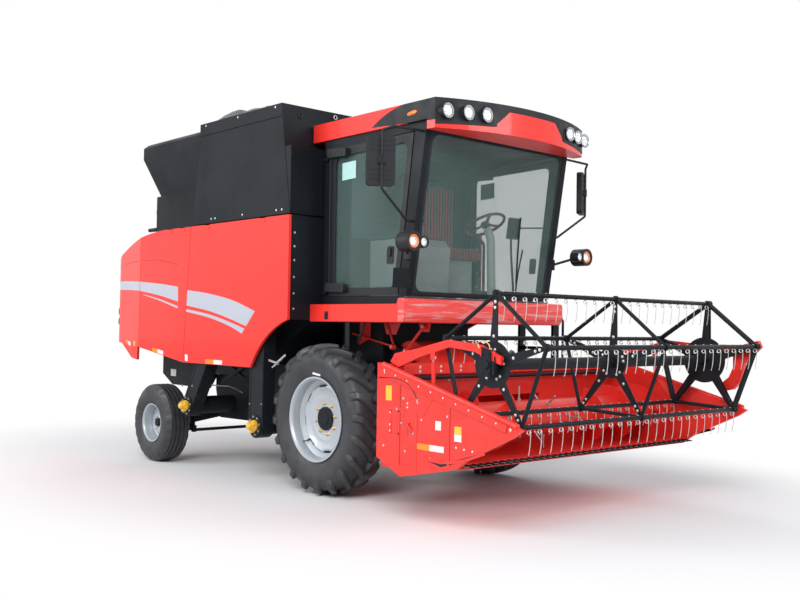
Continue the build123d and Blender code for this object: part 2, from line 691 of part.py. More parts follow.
def door():
    """Right door: a slim frame with two hinge blocks on its rear edge."""
    y0 = -CAB_HALF
    y1 = y0 + DOOR_T
    frame = slab_y(door_outline(0), y0, y1)
    inner = [(-105, 1820), (700, 1820), (916, 3113), (-105, 3088)]
    frame = frame - slab_y(inner, y0 - 5, y1 + 5)
    for z in DOOR_HINGES:
        arm = block(DOOR_HINGE_X, 40, -DOOR_HINGE_Y - 14, y0 - DOOR_HINGE_PLAY, z - 22, z + 26)
        arm = arm + rod(
            (DOOR_HINGE_X, -DOOR_HINGE_Y, z - 22), (DOOR_HINGE_X, -DOOR_HINGE_Y, z + 26),
            DOOR_HINGE_Y - CAB_HALF - DOOR_HINGE_PLAY,
        )
        arm = arm + block(-140, -105, y0 - DOOR_HINGE_PLAY, y0, z - 22, z + 26)
        frame = frame + arm
        frame = frame - rod(
            (DOOR_HINGE_X, -DOOR_HINGE_Y, z - 30), (DOOR_HINGE_X, -DOOR_HINGE_Y, z + 21), 8 + RUN_FIT
        )
    return frame


def door_glass():
    """Pane of the right door, let into its frame."""
    y0 = -CAB_HALF + 12
    return slab_y([(-104.7, 1820.3), (699.7, 1820.3), (915.6, 3112.6), (-104.7, 3087.6)], y0, y0 + GLASS_T)


def cab_glass():
    """Windscreen and rear window."""
    screen = screen_slab(SCREEN_HALF - 0.3, SCREEN_LOW + 0.3, SCREEN_HIGH - 0.3, 8, 8 + GLASS_T)
    y0, y1, z0, z1 = REAR_WINDOW
    rear = block(
        CAB_REAR_X + 15, CAB_REAR_X + 15 + GLASS_T, y0 + 0.3, y1 - 0.3, z0 + 0.3, z1 - 0.3
    )
    return [screen, rear]


def roof_block(grow):
    """Roof slab: straight sides, bowed front, thicker at the fascia."""
    z0 = CAB_TOP_Z + 0.3
    y = ROOF_HALF + grow
    x_side = ROOF_SIDE_X + grow
    y_side = y + ROOF_FLARE
    edges = [
        Line((ROOF_REAR_X - grow, -y, z0), (x_side, -y_side, z0)),
        ThreePointArc((x_side, -y_side, z0), (ROOF_FRONT_X + grow, 0, z0), (x_side, y_side, z0)),
        Line((x_side, y_side, z0), (ROOF_REAR_X - grow, y, z0)),
        Line((ROOF_REAR_X - grow, y, z0), (ROOF_REAR_X - grow, -y, z0)),
    ]
    face = make_face(edges)
    slab = extrude(face, amount=ROOF_TOP_Z - z0, dir=(0, 0, 1))
    low = extrude(face, amount=-85, dir=(0, 0, 1))
    low = low & block(1165, ROOF_FRONT_X + 50, -y - 40, y + 40, 3000, z0 + 1)
    return slab + low


def visor_region():
    """Side sweep and front band that are black on the roof."""
    z0 = CAB_TOP_Z
    edges = [
        Line((450, -1000, z0 + 25), (1600, -1000, z0 - 35)),
        Line((1600, -1000, z0 - 35), (1600, -1000, 3600)),
        Line((1600, -1000, 3600), (980, -1000, 3600)),
        Line((980, -1000, 3600), (980, -1000, ROOF_TOP_Z + 4)),
        ThreePointArc((980, -1000, ROOF_TOP_Z + 4), (660, -1000, 3345), (450, -1000, z0 + 25)),
    ]
    sweep = extrude(make_face(edges), amount=2000, dir=(0, 1, 0))
    fascia = slab_x([(-430, 3100), (-430, 3220), (-300, 3335), (300, 3335), (430, 3220), (430, 3100)], 900, 1700)
    return sweep - fascia


def cab_roof():
    return roof_block(0) - visor_region()


def roof_visor():
    """Black visor that holds the work lamps."""
    visor = roof_block(0) & visor_region()
    for y, x in WORK_LAMPS:
        visor = visor - disc_x(x, y, WORK_LAMP_Z, 53, -70, 120)
    return visor


WORK_LAMPS = [(s * y, x) for s in (-1, 1) for y, x in ((548, 1432), (722, 1386), (900, 1324))]
WORK_LAMP_Z = 3278.0


def disc_x(x, y, z, radius, back, front):
    """A round lamp body along X."""
    return rod((x + back, y, z), (x + front, y, z), radius)


TURN_LAMP_X = 1190.0
TURN_LAMP_Y = 1130.0
TURN_LAMP_Z = 2205.0
TURN_LAMP_STEP = 108.0


def lamp_housings():
    """Work lamp bowls in the visor, and the twin lamps on brackets beside the cab."""
    bowls = []
    for y, x in WORK_LAMPS:
        bowl = disc_x(x, y, WORK_LAMP_Z, 52.7, -69.7, 22)
        bowl = bowl - disc_x(x, y, WORK_LAMP_Z, 44, -30, 40)
        bowls.append(bowl)
    for s in (-1, 1):
        big_y = s * TURN_LAMP_Y
        small_y = s * (TURN_LAMP_Y - TURN_LAMP_STEP)
        body = disc_x(TURN_LAMP_X, big_y, TURN_LAMP_Z, 82, -120, 26)
        small = disc_x(TURN_LAMP_X, small_y, TURN_LAMP_Z, 50, -60, 30)
        link = block(TURN_LAMP_X - 60, TURN_LAMP_X, big_y, small_y, TURN_LAMP_Z - 30, TURN_LAMP_Z + 30)
        arm = rod((930, s * 955, 2130), (TURN_LAMP_X - 60, s * 1060, TURN_LAMP_Z - 10), 12)
        foot = block(905, 960, s * (CAB_HALF + 0.3), s * (CAB_HALF + 30), 2080, 2180)
        body = body + small + link + arm + foot
        body = body - disc_x(TURN_LAMP_X, big_y, TURN_LAMP_Z, 60, 0, 60)
        body = body - disc_x(TURN_LAMP_X, small_y, TURN_LAMP_Z, 38, 0, 60)
        bowls.append(body)
    return bowls


def lamp_lenses():
    """Clear lenses of all the lamps."""
    lenses = [disc_x(x, y, WORK_LAMP_Z, 43.7, -29.7, 14) for y, x in WORK_LAMPS]
    for s in (-1, 1):
        lenses.append(disc_x(TURN_LAMP_X, s * TURN_LAMP_Y, TURN_LAMP_Z, 40, 0.3, 22))
        small_y = s * (TURN_LAMP_Y - TURN_LAMP_STEP)
        lenses.append(disc_x(TURN_LAMP_X, small_y, TURN_LAMP_Z, 37.7, 0.3, 24))
    return lenses


def marker_lamps():
    """Amber rings of the corner lamps and side markers of the roof."""
    ambers = []
    for s in (-1, 1):
        ring = disc_x(TURN_LAMP_X, s * TURN_LAMP_Y, TURN_LAMP_Z, 59.7, 0.3, 22)
        ring = ring - disc_x(TURN_LAMP_X, s * TURN_LAMP_Y, TURN_LAMP_Z, 40.3, -5, 40)
        ambers.append(ring)
        side_y = ROOF_HALF + ROOF_FLARE * (930 - ROOF_REAR_X) / (ROOF_SIDE_X - ROOF_REAR_X)
        marker = block(930, 1040, s * (side_y - 8), s * (side_y + 16), 3280, 3325)
        ambers.append(marker - roof_block(0.3))
    return ambers


MIRROR_Y = 1318.0
MIRROR_X = 1000.0
MIRROR_TURN = 28.0
MIRROR_HALF = 118.0
MIRROR_BOTTOM_Z = 2648.0
MIRROR_TOP_Z = 3058.0


def at_mirror(s):
    """Place of a mirror head, turned so that the driver sees back along the machine."""
    return Pos(MIRROR_X, s * MIRROR_Y, 0) * Rot(0, 0, s * MIRROR_TURN)


def mirror_frames():
    """Mirror heads on their bent tube arms."""
    frames = []
    for s in (-1, 1):
        head = block(-34, 18, -MIRROR_HALF, MIRROR_HALF, MIRROR_BOTTOM_Z, MIRROR_TOP_Z)
        head = fillet(head.edges().filter_by(Axis.X), 34)
        head = head - block(
            -40, -26, -MIRROR_HALF + 14, MIRROR_HALF - 14, MIRROR_BOTTOM_Z + 14, MIRROR_TOP_Z - 14
        )
        head = head + block(8, 46, -28, 28, 2830, 2890)
        points = [
            (1085, s * (CAB_HALF + 0.3), 3140), (1085, s * (CAB_HALF + 60), 3140),
            (1100, s * 1270, 3130), (MIRROR_X + 30, s * (MIRROR_Y + 14), 3100),
            (MIRROR_X + 30, s * (MIRROR_Y + 14), 2628), (960, s * (CAB_HALF + 60), 2400),
            (960, s * (CAB_HALF + 0.3), 2400),
        ]
        path = FilletPolyline(*points, radius=24)
        tube = sweep(Plane(origin=points[0], z_dir=path % 0) * Circle(11), path=path)
        frames.append(at_mirror(s) * head + tube)
    return frames


def mirror_glass():
    """Mirror plates, facing back."""
    plate = block(
        -33, -26.3, -MIRROR_HALF + 14.3, MIRROR_HALF - 14.3, MIRROR_BOTTOM_Z + 14.3, MIRROR_TOP_Z - 14.3
    )
    return [at_mirror(s) * plate for s in (-1, 1)]


SEAT_X = 60.0
SEAT_Y = 380.0
WHEEL_TILT = 28.0
STEER_WHEEL_X = 580.0
STEER_WHEEL_Z = 2500.0
STEER_SHAFT_LOW = 50.0
FLOOR_Z = CAB_BOTTOM_Z + CAB_WALL


def cab_interior():
    """Seat pedestal, steering column and side console."""
    pedestal = block(SEAT_X - 190, SEAT_X + 190, SEAT_Y - 170, SEAT_Y + 170, FLOOR_Z + 0.3, FLOOR_Z + 420)
    wheel = Vector(STEER_WHEEL_X, SEAT_Y, STEER_WHEEL_Z)
    down = Vector(sin(radians(WHEEL_TILT)), 0, -cos(radians(WHEEL_TILT)))
    knee = wheel + down * 150
    column = rod(knee, wheel + down * (STEER_SHAFT_LOW + RUN_FIT), 40)
    column = column + Pos(knee) * Sphere(40) + rod((knee.X + 20, SEAT_Y, FLOOR_Z + 0.3), knee, 40)
    column = column & block(400, 800, SEAT_Y - 100, SEAT_Y + 100, FLOOR_Z + 0.3, STEER_WHEEL_Z)
    console = slab_y(
        [
            (-180, FLOOR_Z + 0.3), (420, FLOOR_Z + 0.3), (460, 2250), (380, 2330), (-180, 2330),
        ],
        -420, 40,
    )
    return [pedestal, column, console]


def seat_cushions():
    """Seat cushion and back rest."""
    low = FLOOR_Z + 420.3
    cushion = block(SEAT_X - 240, SEAT_X + 270, SEAT_Y - 260, SEAT_Y + 260, low, low + 120)
    cushion = fillet(cushion.edges(), 30)
    back = block(SEAT_X - 250, SEAT_X - 130, SEAT_Y - 255, SEAT_Y + 255, low + 120.3, low + 780)
    back = fillet(back.edges(), 35)
    return [cushion, back]


def steering_wheel():
    """Steering wheel with three spokes and a hub on the column."""
    rim = Torus(190, 14)
    hub = Cylinder(42, 40)
    spokes = [Rot(0, 0, n * 120 + 90) * Pos(100, 0, 0) * Box(190, 26, 12) for n in range(3)]
    shaft = Pos(0, 0, -STEER_SHAFT_LOW / 2) * Cylinder(16, STEER_SHAFT_LOW)
    wheel = rim + hub + spokes + shaft
    return Pos(STEER_WHEEL_X, SEAT_Y, STEER_WHEEL_Z) * Rot(0, -WHEEL_TILT, 0) * wheel


def cab_deck():
    """Red deck under the cab: side sills, raised ledge across the front, left platform."""
    base = block(-305, 850, -DECK_HALF, DECK_HALF, DECK_BOTTOM_Z, CAB_BOTTOM_Z - 0.3)
    ledge = slab_y(
        [
            (790, DECK_BOTTOM_Z), (LEDGE_FRONT_X - 30, DECK_BOTTOM_Z), (LEDGE_FRONT_X, 1600),
            (LEDGE_FRONT_X, 1735), (LEDGE_FRONT_X - 20, LEDGE_TOP_Z), (910, LEDGE_TOP_Z),
            (895, CAB_BOTTOM_Z - 0.3), (790, CAB_BOTTOM_Z - 0.3),
        ],
        -DECK_HALF, DECK_HALF,
    )
    deck = base + ledge
    deck = deck - block(-285, 960, -DECK_HALF + 40, DECK_HALF - 40, DECK_BOTTOM_Z - 5, CAB_BOTTOM_Z - 30)
    seat = block(-305, 195, -560, 560, DECK_BOTTOM_Z, CAB_BOTTOM_Z - 10)
    return deck + seat


PLATFORM_OUT_Y = 1290.0
LADDER_X = 230.0
LADDER_W = 440.0


def ladder():
    """Black platform on the left with its ladder, rails and kick plate."""
    plate = block(-290, 800, DECK_HALF + 0.3, PLATFORM_OUT_Y, 1600, 1640)
    steps = []
    y0 = PLATFORM_OUT_Y - 20
    for s in (0, LADDER_W):
        stile = block(LADDER_X + s, LADDER_X + s + 30, y0, y0 + 90, 430, 1640)
        steps.append(stile)
    for z in (460, 740, 1020, 1300):
        steps.append(block(LADDER_X, LADDER_X + LADDER_W + 30, y0, y0 + 90, z, z + 30))
    y1 = PLATFORM_OUT_Y - 20
    path = FilletPolyline((-270, y1, 1630), (-270, y1, 2450), (-270, 1070, 2450), (-270, 1070, 1630), radius=60)
    rail = sweep(Plane(origin=(-270, y1, 1630), z_dir=(0, 0, 1)) * Circle(15), path=path)
    return plate + steps + rail + ladder_grip(y0 + 80)


def ladder_grip(y0):
    """Hand grip on the ladder's front stile, below the door's sweep."""
    x = LADDER_X + LADDER_W + 15
    path = FilletPolyline((x, y0, 900), (x, y0 + 90, 900), (x, y0 + 90, 1610), (x, y0, 1610), radius=30)
    return sweep(Plane(origin=(x, y0, 900), z_dir=(0, 1, 0)) * Circle(13), path=path)


RISER_X = -560.0
RISER_Y = 1150.0
RISER_R = 94.0
SPOUT_Z = 2820.0
SPOUT_R = 125.0
SPOUT_END_X = -3650.0
ELBOW_DROP = 14.0


def unloading_riser():
    """Riser of the unloading auger, beside the tank's left wall."""
    top = SPOUT_Z - SPOUT_R - ELBOW_DROP - RUN_FIT
    riser = rod((RISER_X, RISER_Y, 2515.3), (RISER_X, RISER_Y, top), RISER_R)
    foot = block(RISER_X - RISER_R, RISER_X + RISER_R, TANK_LEFT_Y + 0.3, RISER_Y, 2540, 2640)
    return riser + foot


def unloading_auger():
    """Folding unloading tube with its elbow and a drooping spout."""
    tube = rod((RISER_X + 60, RISER_Y, SPOUT_Z), (SPOUT_END_X, RISER_Y, SPOUT_Z), SPOUT_R)
    low = SPOUT_Z - SPOUT_R - ELBOW_DROP
    elbow = rod((RISER_X, RISER_Y, low), (RISER_X, RISER_Y, SPOUT_Z), SPOUT_R + 6)
    end = rod((SPOUT_END_X + 40, RISER_Y, SPOUT_Z), (SPOUT_END_X - 170, RISER_Y, SPOUT_Z - 150), 118)
    bore = rod((SPOUT_END_X - 30, RISER_Y, SPOUT_Z - 50), (SPOUT_END_X - 190, RISER_Y, SPOUT_Z - 167), 100)
    return tube + elbow + end - bore


# ---- feeder house and header ----
FEEDER_HALF = 430.0


def feeder_house():
    """Inclined feeder duct with a round head about the lift pivot and an open mouth."""
    head = disc_y(LIFT_X, LIFT_Z, 215, -FEEDER_HALF, FEEDER_HALF)
    duct = slab_y(
        [
            (LIFT_X, LIFT_Z + 215), (HEADER_BACK_X - 0.3, 985), (HEADER_BACK_X - 0.3, 520),
            (LIFT_X - 80, LIFT_Z - 199),
        ],
        -FEEDER_HALF, FEEDER_HALF,
    )
    mouth = slab_y(
        [(HEADER_BACK_X - 500, 1100), (HEADER_BACK_X + 5, 935), (HEADER_BACK_X + 5, 560), (HEADER_BACK_X - 500, 770)],
        -FEEDER_HALF + 30, FEEDER_HALF - 30,
    )
    house = head + duct - mouth
    house = house + disc_y(LIFT_X, LIFT_Z, 40, -FEEDER_HALF - 60, FEEDER_HALF + 60)
    for s in (-1, 1):
        lug = slab_y([(840, 760), (960, 690), (915, 605), (855, 605)], s * 395, s * 370)
        house = house + lug
        house = house + disc_y(LIFT_EYE_X, LIFT_EYE_Z, 14, s * 395, s * 330)
    return house


LIFT_BASE_X = 60.0
LIFT_BASE_Z = 470.0
LIFT_EYE_X = 880.0
LIFT_EYE_Z = 640.0
LIFT_BARREL_R = 42.0
LIFT_ROD_R = 24.0
LIFT_Y = 345.0


def feeder_bearings():
    """Brackets on the body that carry the feeder pivot."""
    plates = []
    for s in (-1, 1):
        y0 = s * (FEEDER_HALF + 8)
        y1 = s * (FEEDER_HALF + 50)
        plate = slab_y([(150, 1400), (500, 1250), (500, 1090), (150, 960)], y0, y1)
        plates.append(plate - disc_y(LIFT_X, LIFT_Z, 40.3, y0 - s * 5, y1 + s * 5))
    return plates


def lift_barrels():
    """Barrels of the two header lift cylinders."""
    barrels = []
    way = Vector(LIFT_EYE_X - LIFT_BASE_X, 0, LIFT_EYE_Z - LIFT_BASE_Z).normalized()
    for s in (-1, 1):
        start = Vector(LIFT_BASE_X, s * LIFT_Y, LIFT_BASE_Z)
        end = start + way * 540
        eye = disc_y(LIFT_BASE_X, LIFT_BASE_Z, 40, s * LIFT_Y - 20, s * LIFT_Y + 20)
        barrel = rod(start + way * 70, end, LIFT_BARREL_R) + rod(start + way * 25, start + way * 75, 19)
        barrel = barrel - rod(start + way * 130, end + way * 10, LIFT_ROD_R + 0.3)
        barrel = barrel + eye - disc_y(LIFT_BASE_X, LIFT_BASE_Z, 20.3, s * LIFT_Y - 30, s * LIFT_Y + 30)
        barrels.append(barrel)
    return barrels


def lift_rods():
    """Rods of the header lift cylinders; the eye has play on its pin."""
    rods = []
    way = Vector(LIFT_EYE_X - LIFT_BASE_X, 0, LIFT_EYE_Z - LIFT_BASE_Z).normalized()
    for s in (-1, 1):
        eye = Vector(LIFT_EYE_X, s * LIFT_Y, LIFT_EYE_Z)
        start = Vector(LIFT_BASE_X, s * LIFT_Y, LIFT_BASE_Z) + way * 360
        bar = rod(start, eye - way * 34, LIFT_ROD_R)
        bar = bar + disc_y(LIFT_EYE_X, LIFT_EYE_Z, 42, s * LIFT_Y - 18, s * LIFT_Y + 18)
        bar = bar - disc_y(LIFT_EYE_X, LIFT_EYE_Z, 26, s * LIFT_Y - 25, s * LIFT_Y + 25)
        rods.append(bar)
    return rods


def lift_mounts():
    """Lugs below the front axle that carry the lift cylinders."""
    lugs = []
    for s in (-1, 1):
        for t in (-1, 1):
            y0 = s * LIFT_Y + t * 26
            y1 = y0 + t * 16
            lugs.append(slab_y([(-70, 640), (70, 640), (95, 430), (25, 430)], y0, y1))
        lugs.append(disc_y(LIFT_BASE_X, LIFT_BASE_Z, 20, s * LIFT_Y - 42, s * LIFT_Y + 42))
    return lugs


def sheet_outline():
    """Side outline of the header's end sheets and dividers."""
    return [
        (1215, 1235), (1268, 1215), (2687, 838), (2610, 785), (2190, 587), (2075, 508),
        (1840, 456), (1490, 385), (1215, 505),
    ]


def header_frame():
    """Header body: end sheets, back wall with the feeder opening, trough floor and top beam."""
    inner = HEADER_HALF - SHEET_T
    sheet = slab_y(sheet_outline(), -HEADER_HALF, -inner)
    sheet = sheet - disc_y(AUGER_X, AUGER_Z, 30.3, -HEADER_HALF - 5, -inner + 5)
    tip = slab_z(
        [(2300, -HEADER_HALF - 5), (2700, -HEADER_HALF - 5), (2700, -HEADER_HALF + 12)], 300, 1300
    )
    sheet = sheet - tip
    rail = rod((1268, -HEADER_HALF + 16, 1222), (2640, -HEADER_HALF + 16, 857), 20)
    sheet = sheet + rail
    back = block(HEADER_BACK_X, HEADER_BACK_X + 15, -inner, inner, 520, 1180)
    back = back - block(HEADER_BACK_X - 5, HEADER_BACK_X + 20, -FEEDER_HALF + 30, FEEDER_HALF - 30, 560, 935)
    beam = block(HEADER_BACK_X - 5, HEADER_BACK_X + 90, -inner, inner, 1140, 1225)
    low_beam = block(HEADER_BACK_X, HEADER_BACK_X + 90, -inner, inner, 430, 530)
    y0 = -inner
    trough = make_face([
        Line((HEADER_BACK_X, y0, 500), (1330, y0, 500)),
        ThreePointArc((1330, y0, 500), (AUGER_X, y0, AUGER_Z - 285), (1880, y0, 515)),
        Line((1880, y0, 515), (2000, y0, 505)),
        Line((2000, y0, 505), (2085, y0, 505)),
        Line((2085, y0, 505), (2085, y0, 513)),
        Line((2085, y0, 513), (2000, y0, 513)),
        Line((2000, y0, 513), (1880, y0, 523)),
        ThreePointArc((1880, y0, 523), (AUGER_X, y0, AUGER_Z - 275), (1330, y0, 530)),
        Line((1330, y0, 530), (HEADER_BACK_X, y0, 530)),
        Line((HEADER_BACK_X, y0, 530), (HEADER_BACK_X, y0, 500)),
    ])
    trough = extrude(trough, amount=2 * inner, dir=(0, 1, 0))
    lugs = []
    for s in (-1, 1):
        y1 = s * (HEADER_HALF - 45)
        lugs.append(slab_y([(1250, 1180), (1420, 1160), (1400, 1290), (1320, 1290)], y1 - s * 62, y1 - s * 52))
        lugs.append(disc_y(ARM_X, ARM_Z, 14, y1 - s * 60, y1 - s * 2))
        lugs.append(disc_y(REEL_CYL_X, REEL_CYL_Z, 9, s * (REEL_CYL_Y - 12), s * (inner + 5)))
    return both(sheet) + back + beam + low_beam + trough + lugs


REEL_CYL_X = 1777.0
REEL_CYL_Z = 1060.0
REEL_EYE_X = 1775.0
REEL_EYE_Z = 1290.0
REEL_BARREL_R = 15.0
REEL_ROD_R = 8.5


def cutterbar():
    """Cutterbar: a rail with pointed guards and the toothed knife between them."""
    count = int(2 * (HEADER_HALF - SHEET_T) / GUARD_PITCH)
    start = -GUARD_PITCH * (count - 1) / 2
    rail = block(2040, 2085, -HEADER_HALF + SHEET_T + 0.3, HEADER_HALF - SHEET_T - 0.3, 513.3, 528)
    bar = rail
    guards = []
    for n in range(count):
        y = start + n * GUARD_PITCH
        low = slab_z(
            [(2075, y - 13), (2115, y - 13), (GUARD_TIP_X, y - 2), (GUARD_TIP_X, y + 2), (2115, y + 13), (2075, y + 13)],
            514, 538,
        )
        guards.append(low)
    teeth = [(2075, start - 30)]
    for n in range(count):
        y = start + n * GUARD_PITCH
        teeth += [(2100, y - 30), (2150, y), (2100, y + 30)]
    teeth.append((2075, start + (count - 1) * GUARD_PITCH + 30))
    knife = slab_z(teeth, 524, 527)
    return bar + guards + knife


def header_auger():
    """Feed auger: a drum with opposed flights and fingers at its middle."""
    half = HEADER_HALF - SHEET_T - 25
    drum = disc_y(AUGER_X, AUGER_Z, AUGER_TUBE_R, -half, half)
    shaft = disc_y(AUGER_X, AUGER_Z, 30, -HEADER_HALF + 10, HEADER_HALF - 10)
    auger = drum + shaft
    pitch = 420.0
    path_len = pitch * 2.2
    inner = AUGER_TUBE_R - 6
    for s in (-1, 1):
        helix = Helix(pitch=pitch, height=path_len, radius=(AUGER_FLIGHT_R + inner) / 2, lefthand=s < 0)
        blade = Plane(origin=helix @ 0, z_dir=helix % 0, x_dir=(1, 0, 0)) * Rectangle(AUGER_FLIGHT_R - inner, 5)
        flight = sweep(blade, path=helix, is_frenet=True)
        flight = Rot(90 * s, 0, 0) * flight
        auger = auger + Pos(AUGER_X, s * (half - 12), AUGER_Z) * flight
    for n in range(8):
        y = -280 + n * 80
        angle = radians(n * 135)
        tip = (AUGER_X + 265 * sin(angle), y, AUGER_Z + 265 * cos(angle))
        auger = auger + rod((AUGER_X, y, AUGER_Z), tip, 7)
    return auger


# ---- reel ----
ARM_IN_Y = HEADER_HALF - 75.0
ARM_T = 28.0
EAR_T = 5.0


def reel_arm():
    """Right reel arm: a bent box arm with the bearing of the reel shaft."""
    outline = [
        (ARM_X - 50, ARM_Z - 10), (ARM_X, ARM_Z + 55), (1600, 1350), (1930, 1425),
        (2230, 1400), (2450, 1320), (2450, 1262), (2200, 1345), (1950, 1372), (1640, 1290),
        (ARM_X + 40, ARM_Z - 50),
    ]
    y0 = -(ARM_IN_Y + ARM_T)
    y1 = -ARM_IN_Y
    arm = slab_y(outline, y0, y1)
    bearing = slab_y([(2262, 1395), (2398, 1340), (2398, 1200), (2262, 1200)], y0 - 4, y1)
    arm = arm + bearing
    arm = arm - disc_y(REEL_X, REEL_Z, 25.3, y0 - 10, y1 + 5)
    arm = arm - disc_y(ARM_X, ARM_Z, 14.3, y0 - 5, y1 + 5)
    ear = [
        (REEL_EYE_X - 22, 1340), (REEL_EYE_X - 18, REEL_EYE_Z - 16),
        (REEL_EYE_X + 18, REEL_EYE_Z - 16), (REEL_EYE_X + 34, 1360),
    ]
    arm = arm + slab_y(ear, y0, y0 + EAR_T) + slab_y(ear, y1 - EAR_T, y1)
    pin = disc_y(REEL_EYE_X, REEL_EYE_Z, 6, y0, y1)
    return arm + pin


def reel_guard():
    """Curved guard of the reel drive, on the left arm's outer side."""
    outline = [
        (2330, 1395), (2400, 1330), (2560, 1330), (2560, 1200), (2520, 1115), (2440, 1050),
        (2470, 990), (2560, 1010), (2625, 1075), (2665, 1240), (2815, 1385), (2790, 1440), (2620, 1395),
        (2450, 1400),
    ]
    return slab_y(outline, ARM_IN_Y + ARM_T - 6, ARM_IN_Y + ARM_T + 42)


def bar_place(n):
    """Where tine bar n sits at rest."""
    angle = radians(REEL_PHASE - 360 / REEL_BARS * n)
    return (REEL_X + REEL_R * cos(angle), REEL_Z + REEL_R * sin(angle))


def reel_rotor():
    """Reel shaft with three five-armed spiders, braced between their arm tips."""
    shaft = disc_y(REEL_X, REEL_Z, 25, -(ARM_IN_Y + ARM_T + 3), ARM_IN_Y + ARM_T + 3)
    rotor = shaft + disc_y(REEL_X, REEL_Z, REEL_TUBE_R, -REEL_HALF, REEL_HALF)
    bars = []
    for y, hub_r in REEL_SPIDERS:
        hub = disc_y(REEL_X, REEL_Z, hub_r, y - 6, y + 6)
        bars.append(hub)
        for n in range(REEL_BARS):
            angle = REEL_PHASE - 360 / REEL_BARS * n
            arm = slab_y([(40, -42), (REEL_R, -14), (REEL_R, 14), (40, 42)], -5, 5)
            bars.append(Pos(REEL_X, y, REEL_Z) * Rot(0, -angle, 0) * arm)
            x0, z0 = bar_place(n)
            x1, z1 = bar_place(n + 1)
            bars.append(rod((x0, y, z0), (x1, y, z1), BRACE_R))
            bars.append(disc_y(x0, z0, BAR_R + 11, y - 12, y + 12))
    rotor = rotor + bars
    for n in range(REEL_BARS):
        x0, z0 = bar_place(n)
        rotor = rotor - disc_y(x0, z0, BAR_R + RUN_FIT, -REEL_HALF - 40, REEL_HALF + 40)
    return rotor


def tine_bar(n):
    """Tine bar n: tube, coils and hanging tines."""
    x, z = bar_place(n)
    bar = disc_y(x, z, BAR_R, -REEL_HALF - 20, REEL_HALF + 20)
    tines = []
    for s in (-1, 1):
        for k in range(TINES_PER_HALF):
            y = s * (TINE_PITCH * (k + 0.5))
            tines.append(block(x - 4, x + 26, y - 8, y + 8, z - 38, z - 8))
            tines.append(block(x + 18, x + 24, y - 3, y + 3, z - TINE_LENGTH, z - 20))
    return bar + tines


REEL_CYL_Y = ARM_IN_Y + ARM_T / 2


def reel_cylinder_way():
    """Direction from the base of the reel lift cylinders to their upper eye."""
    return Vector(REEL_EYE_X - REEL_CYL_X, 0, REEL_EYE_Z - REEL_CYL_Z).normalized()


def reel_barrels():
    """Barrels of the reel lift cylinders."""
    barrels = []
    way = reel_cylinder_way()
    for s in (-1, 1):
        y = s * REEL_CYL_Y
        base = Vector(REEL_CYL_X, y, REEL_CYL_Z)
        barrel = rod(base + way * 14, base + way * 200, REEL_BARREL_R)
        barrel = barrel - rod(base + way * 26, base + way * 205, REEL_ROD_R + 0.3)
        barrel = barrel + disc_y(REEL_CYL_X, REEL_CYL_Z, 20, y - 8, y + 8)
        barrel = barrel - disc_y(REEL_CYL_X, REEL_CYL_Z, 9.3, y - 10, y + 10)
        barrels.append(barrel)
    return barrels


def reel_rods():
    """Rods of the reel lift cylinders; the eye has play on its pin."""
    rods = []
    way = reel_cylinder_way()
    for s in (-1, 1):
        y = s * REEL_CYL_Y
        base = Vector(REEL_CYL_X, y, REEL_CYL_Z)
        eye = Vector(REEL_EYE_X, y, REEL_EYE_Z)
        bar = rod(base + way * 28, eye - way * 14, REEL_ROD_R)
        bar = bar + disc_y(REEL_EYE_X, REEL_EYE_Z, 18, y - 7.5, y + 7.5)
        bar = bar - disc_y(REEL_EYE_X, REEL_EYE_Z, 12, y - 10, y + 10)
        rods.append(bar)
    return rods


# ---- assembly ----
pieces["chassis_frame"] = chassis_frame()
pieces["front_axle"] = front_axle() + lift_mounts()
pieces["rear_axle"] = rear_axle()
for side, place in (("right", lambda p: p), ("left", left_of)):
    pieces["front_tyre_" + side] = place(front_tyre())
    pieces["front_rim_" + side] = place(front_rim())
    pieces["rear_tyre_" + side] = place(rear_tyre())
    pieces["rear_rim_" + side] = place(rear_rim())
    pieces["knuckle_" + side] = place(knuckle())
    pieces["front_panel_" + side] = place(side_panel("front"))
    pieces["rear_panel_" + side] = place(side_panel("rear"))
    pieces["cab_door_" + side] = place(door())
    pieces["door_glass_" + side] = place(door_glass())
pieces["tie_rod"] = tie_rod()
pieces["threshing_body"] = threshing_body() + feeder_bearings()
pieces["elevators"] = [*elevators(), unloading_riser()]
pieces["elevator_caps"] = elevator_caps()
pieces["rear_hood"] = rear_hood()
pieces["grain_tank"] = grain_tank()
pieces["tank_cover"] = tank_cover()
pieces["engine_hood"] = engine_hood()
pieces["engine"] = engine()
pieces["cab_frame"] = cab_frame()
pieces["cab_glass"] = cab_glass()
pieces["cab_roof"] = cab_roof()
pieces["roof_visor"] = roof_visor()
pieces["lamp_housings"] = lamp_housings()
pieces["lamp_lenses"] = lamp_lenses()
pieces["marker_lamps"] = marker_lamps()
pieces["mirror_frames"] = mirror_frames()
pieces["mirror_glass"] = mirror_glass()
pieces["cab_interior"] = cab_interior()
pieces["seat_cushions"] = seat_cushions()
pieces["steering_wheel"] = steering_wheel()
pieces["cab_deck"] = cab_deck()
pieces["ladder"] = ladder()
pieces["feeder_house"] = feeder_house()
pieces["lift_barrels"] = lift_barrels()
pieces["lift_rods"] = lift_rods()
pieces["header_frame"] = header_frame()
pieces["cutterbar"] = cutterbar()
pieces["header_auger"] = header_auger()
pieces["reel_arms"] = both(reel_arm()) + reel_guard()
pieces["reel_rotor"] = reel_rotor()
for number in range(REEL_BARS):
    pieces["tine_bar_%d" % (number + 1)] = tine_bar(number)
pieces["reel_barrels"] = reel_barrels()
pieces["reel_rods"] = reel_rods()
pieces["unloading_auger"] = unloading_auger()

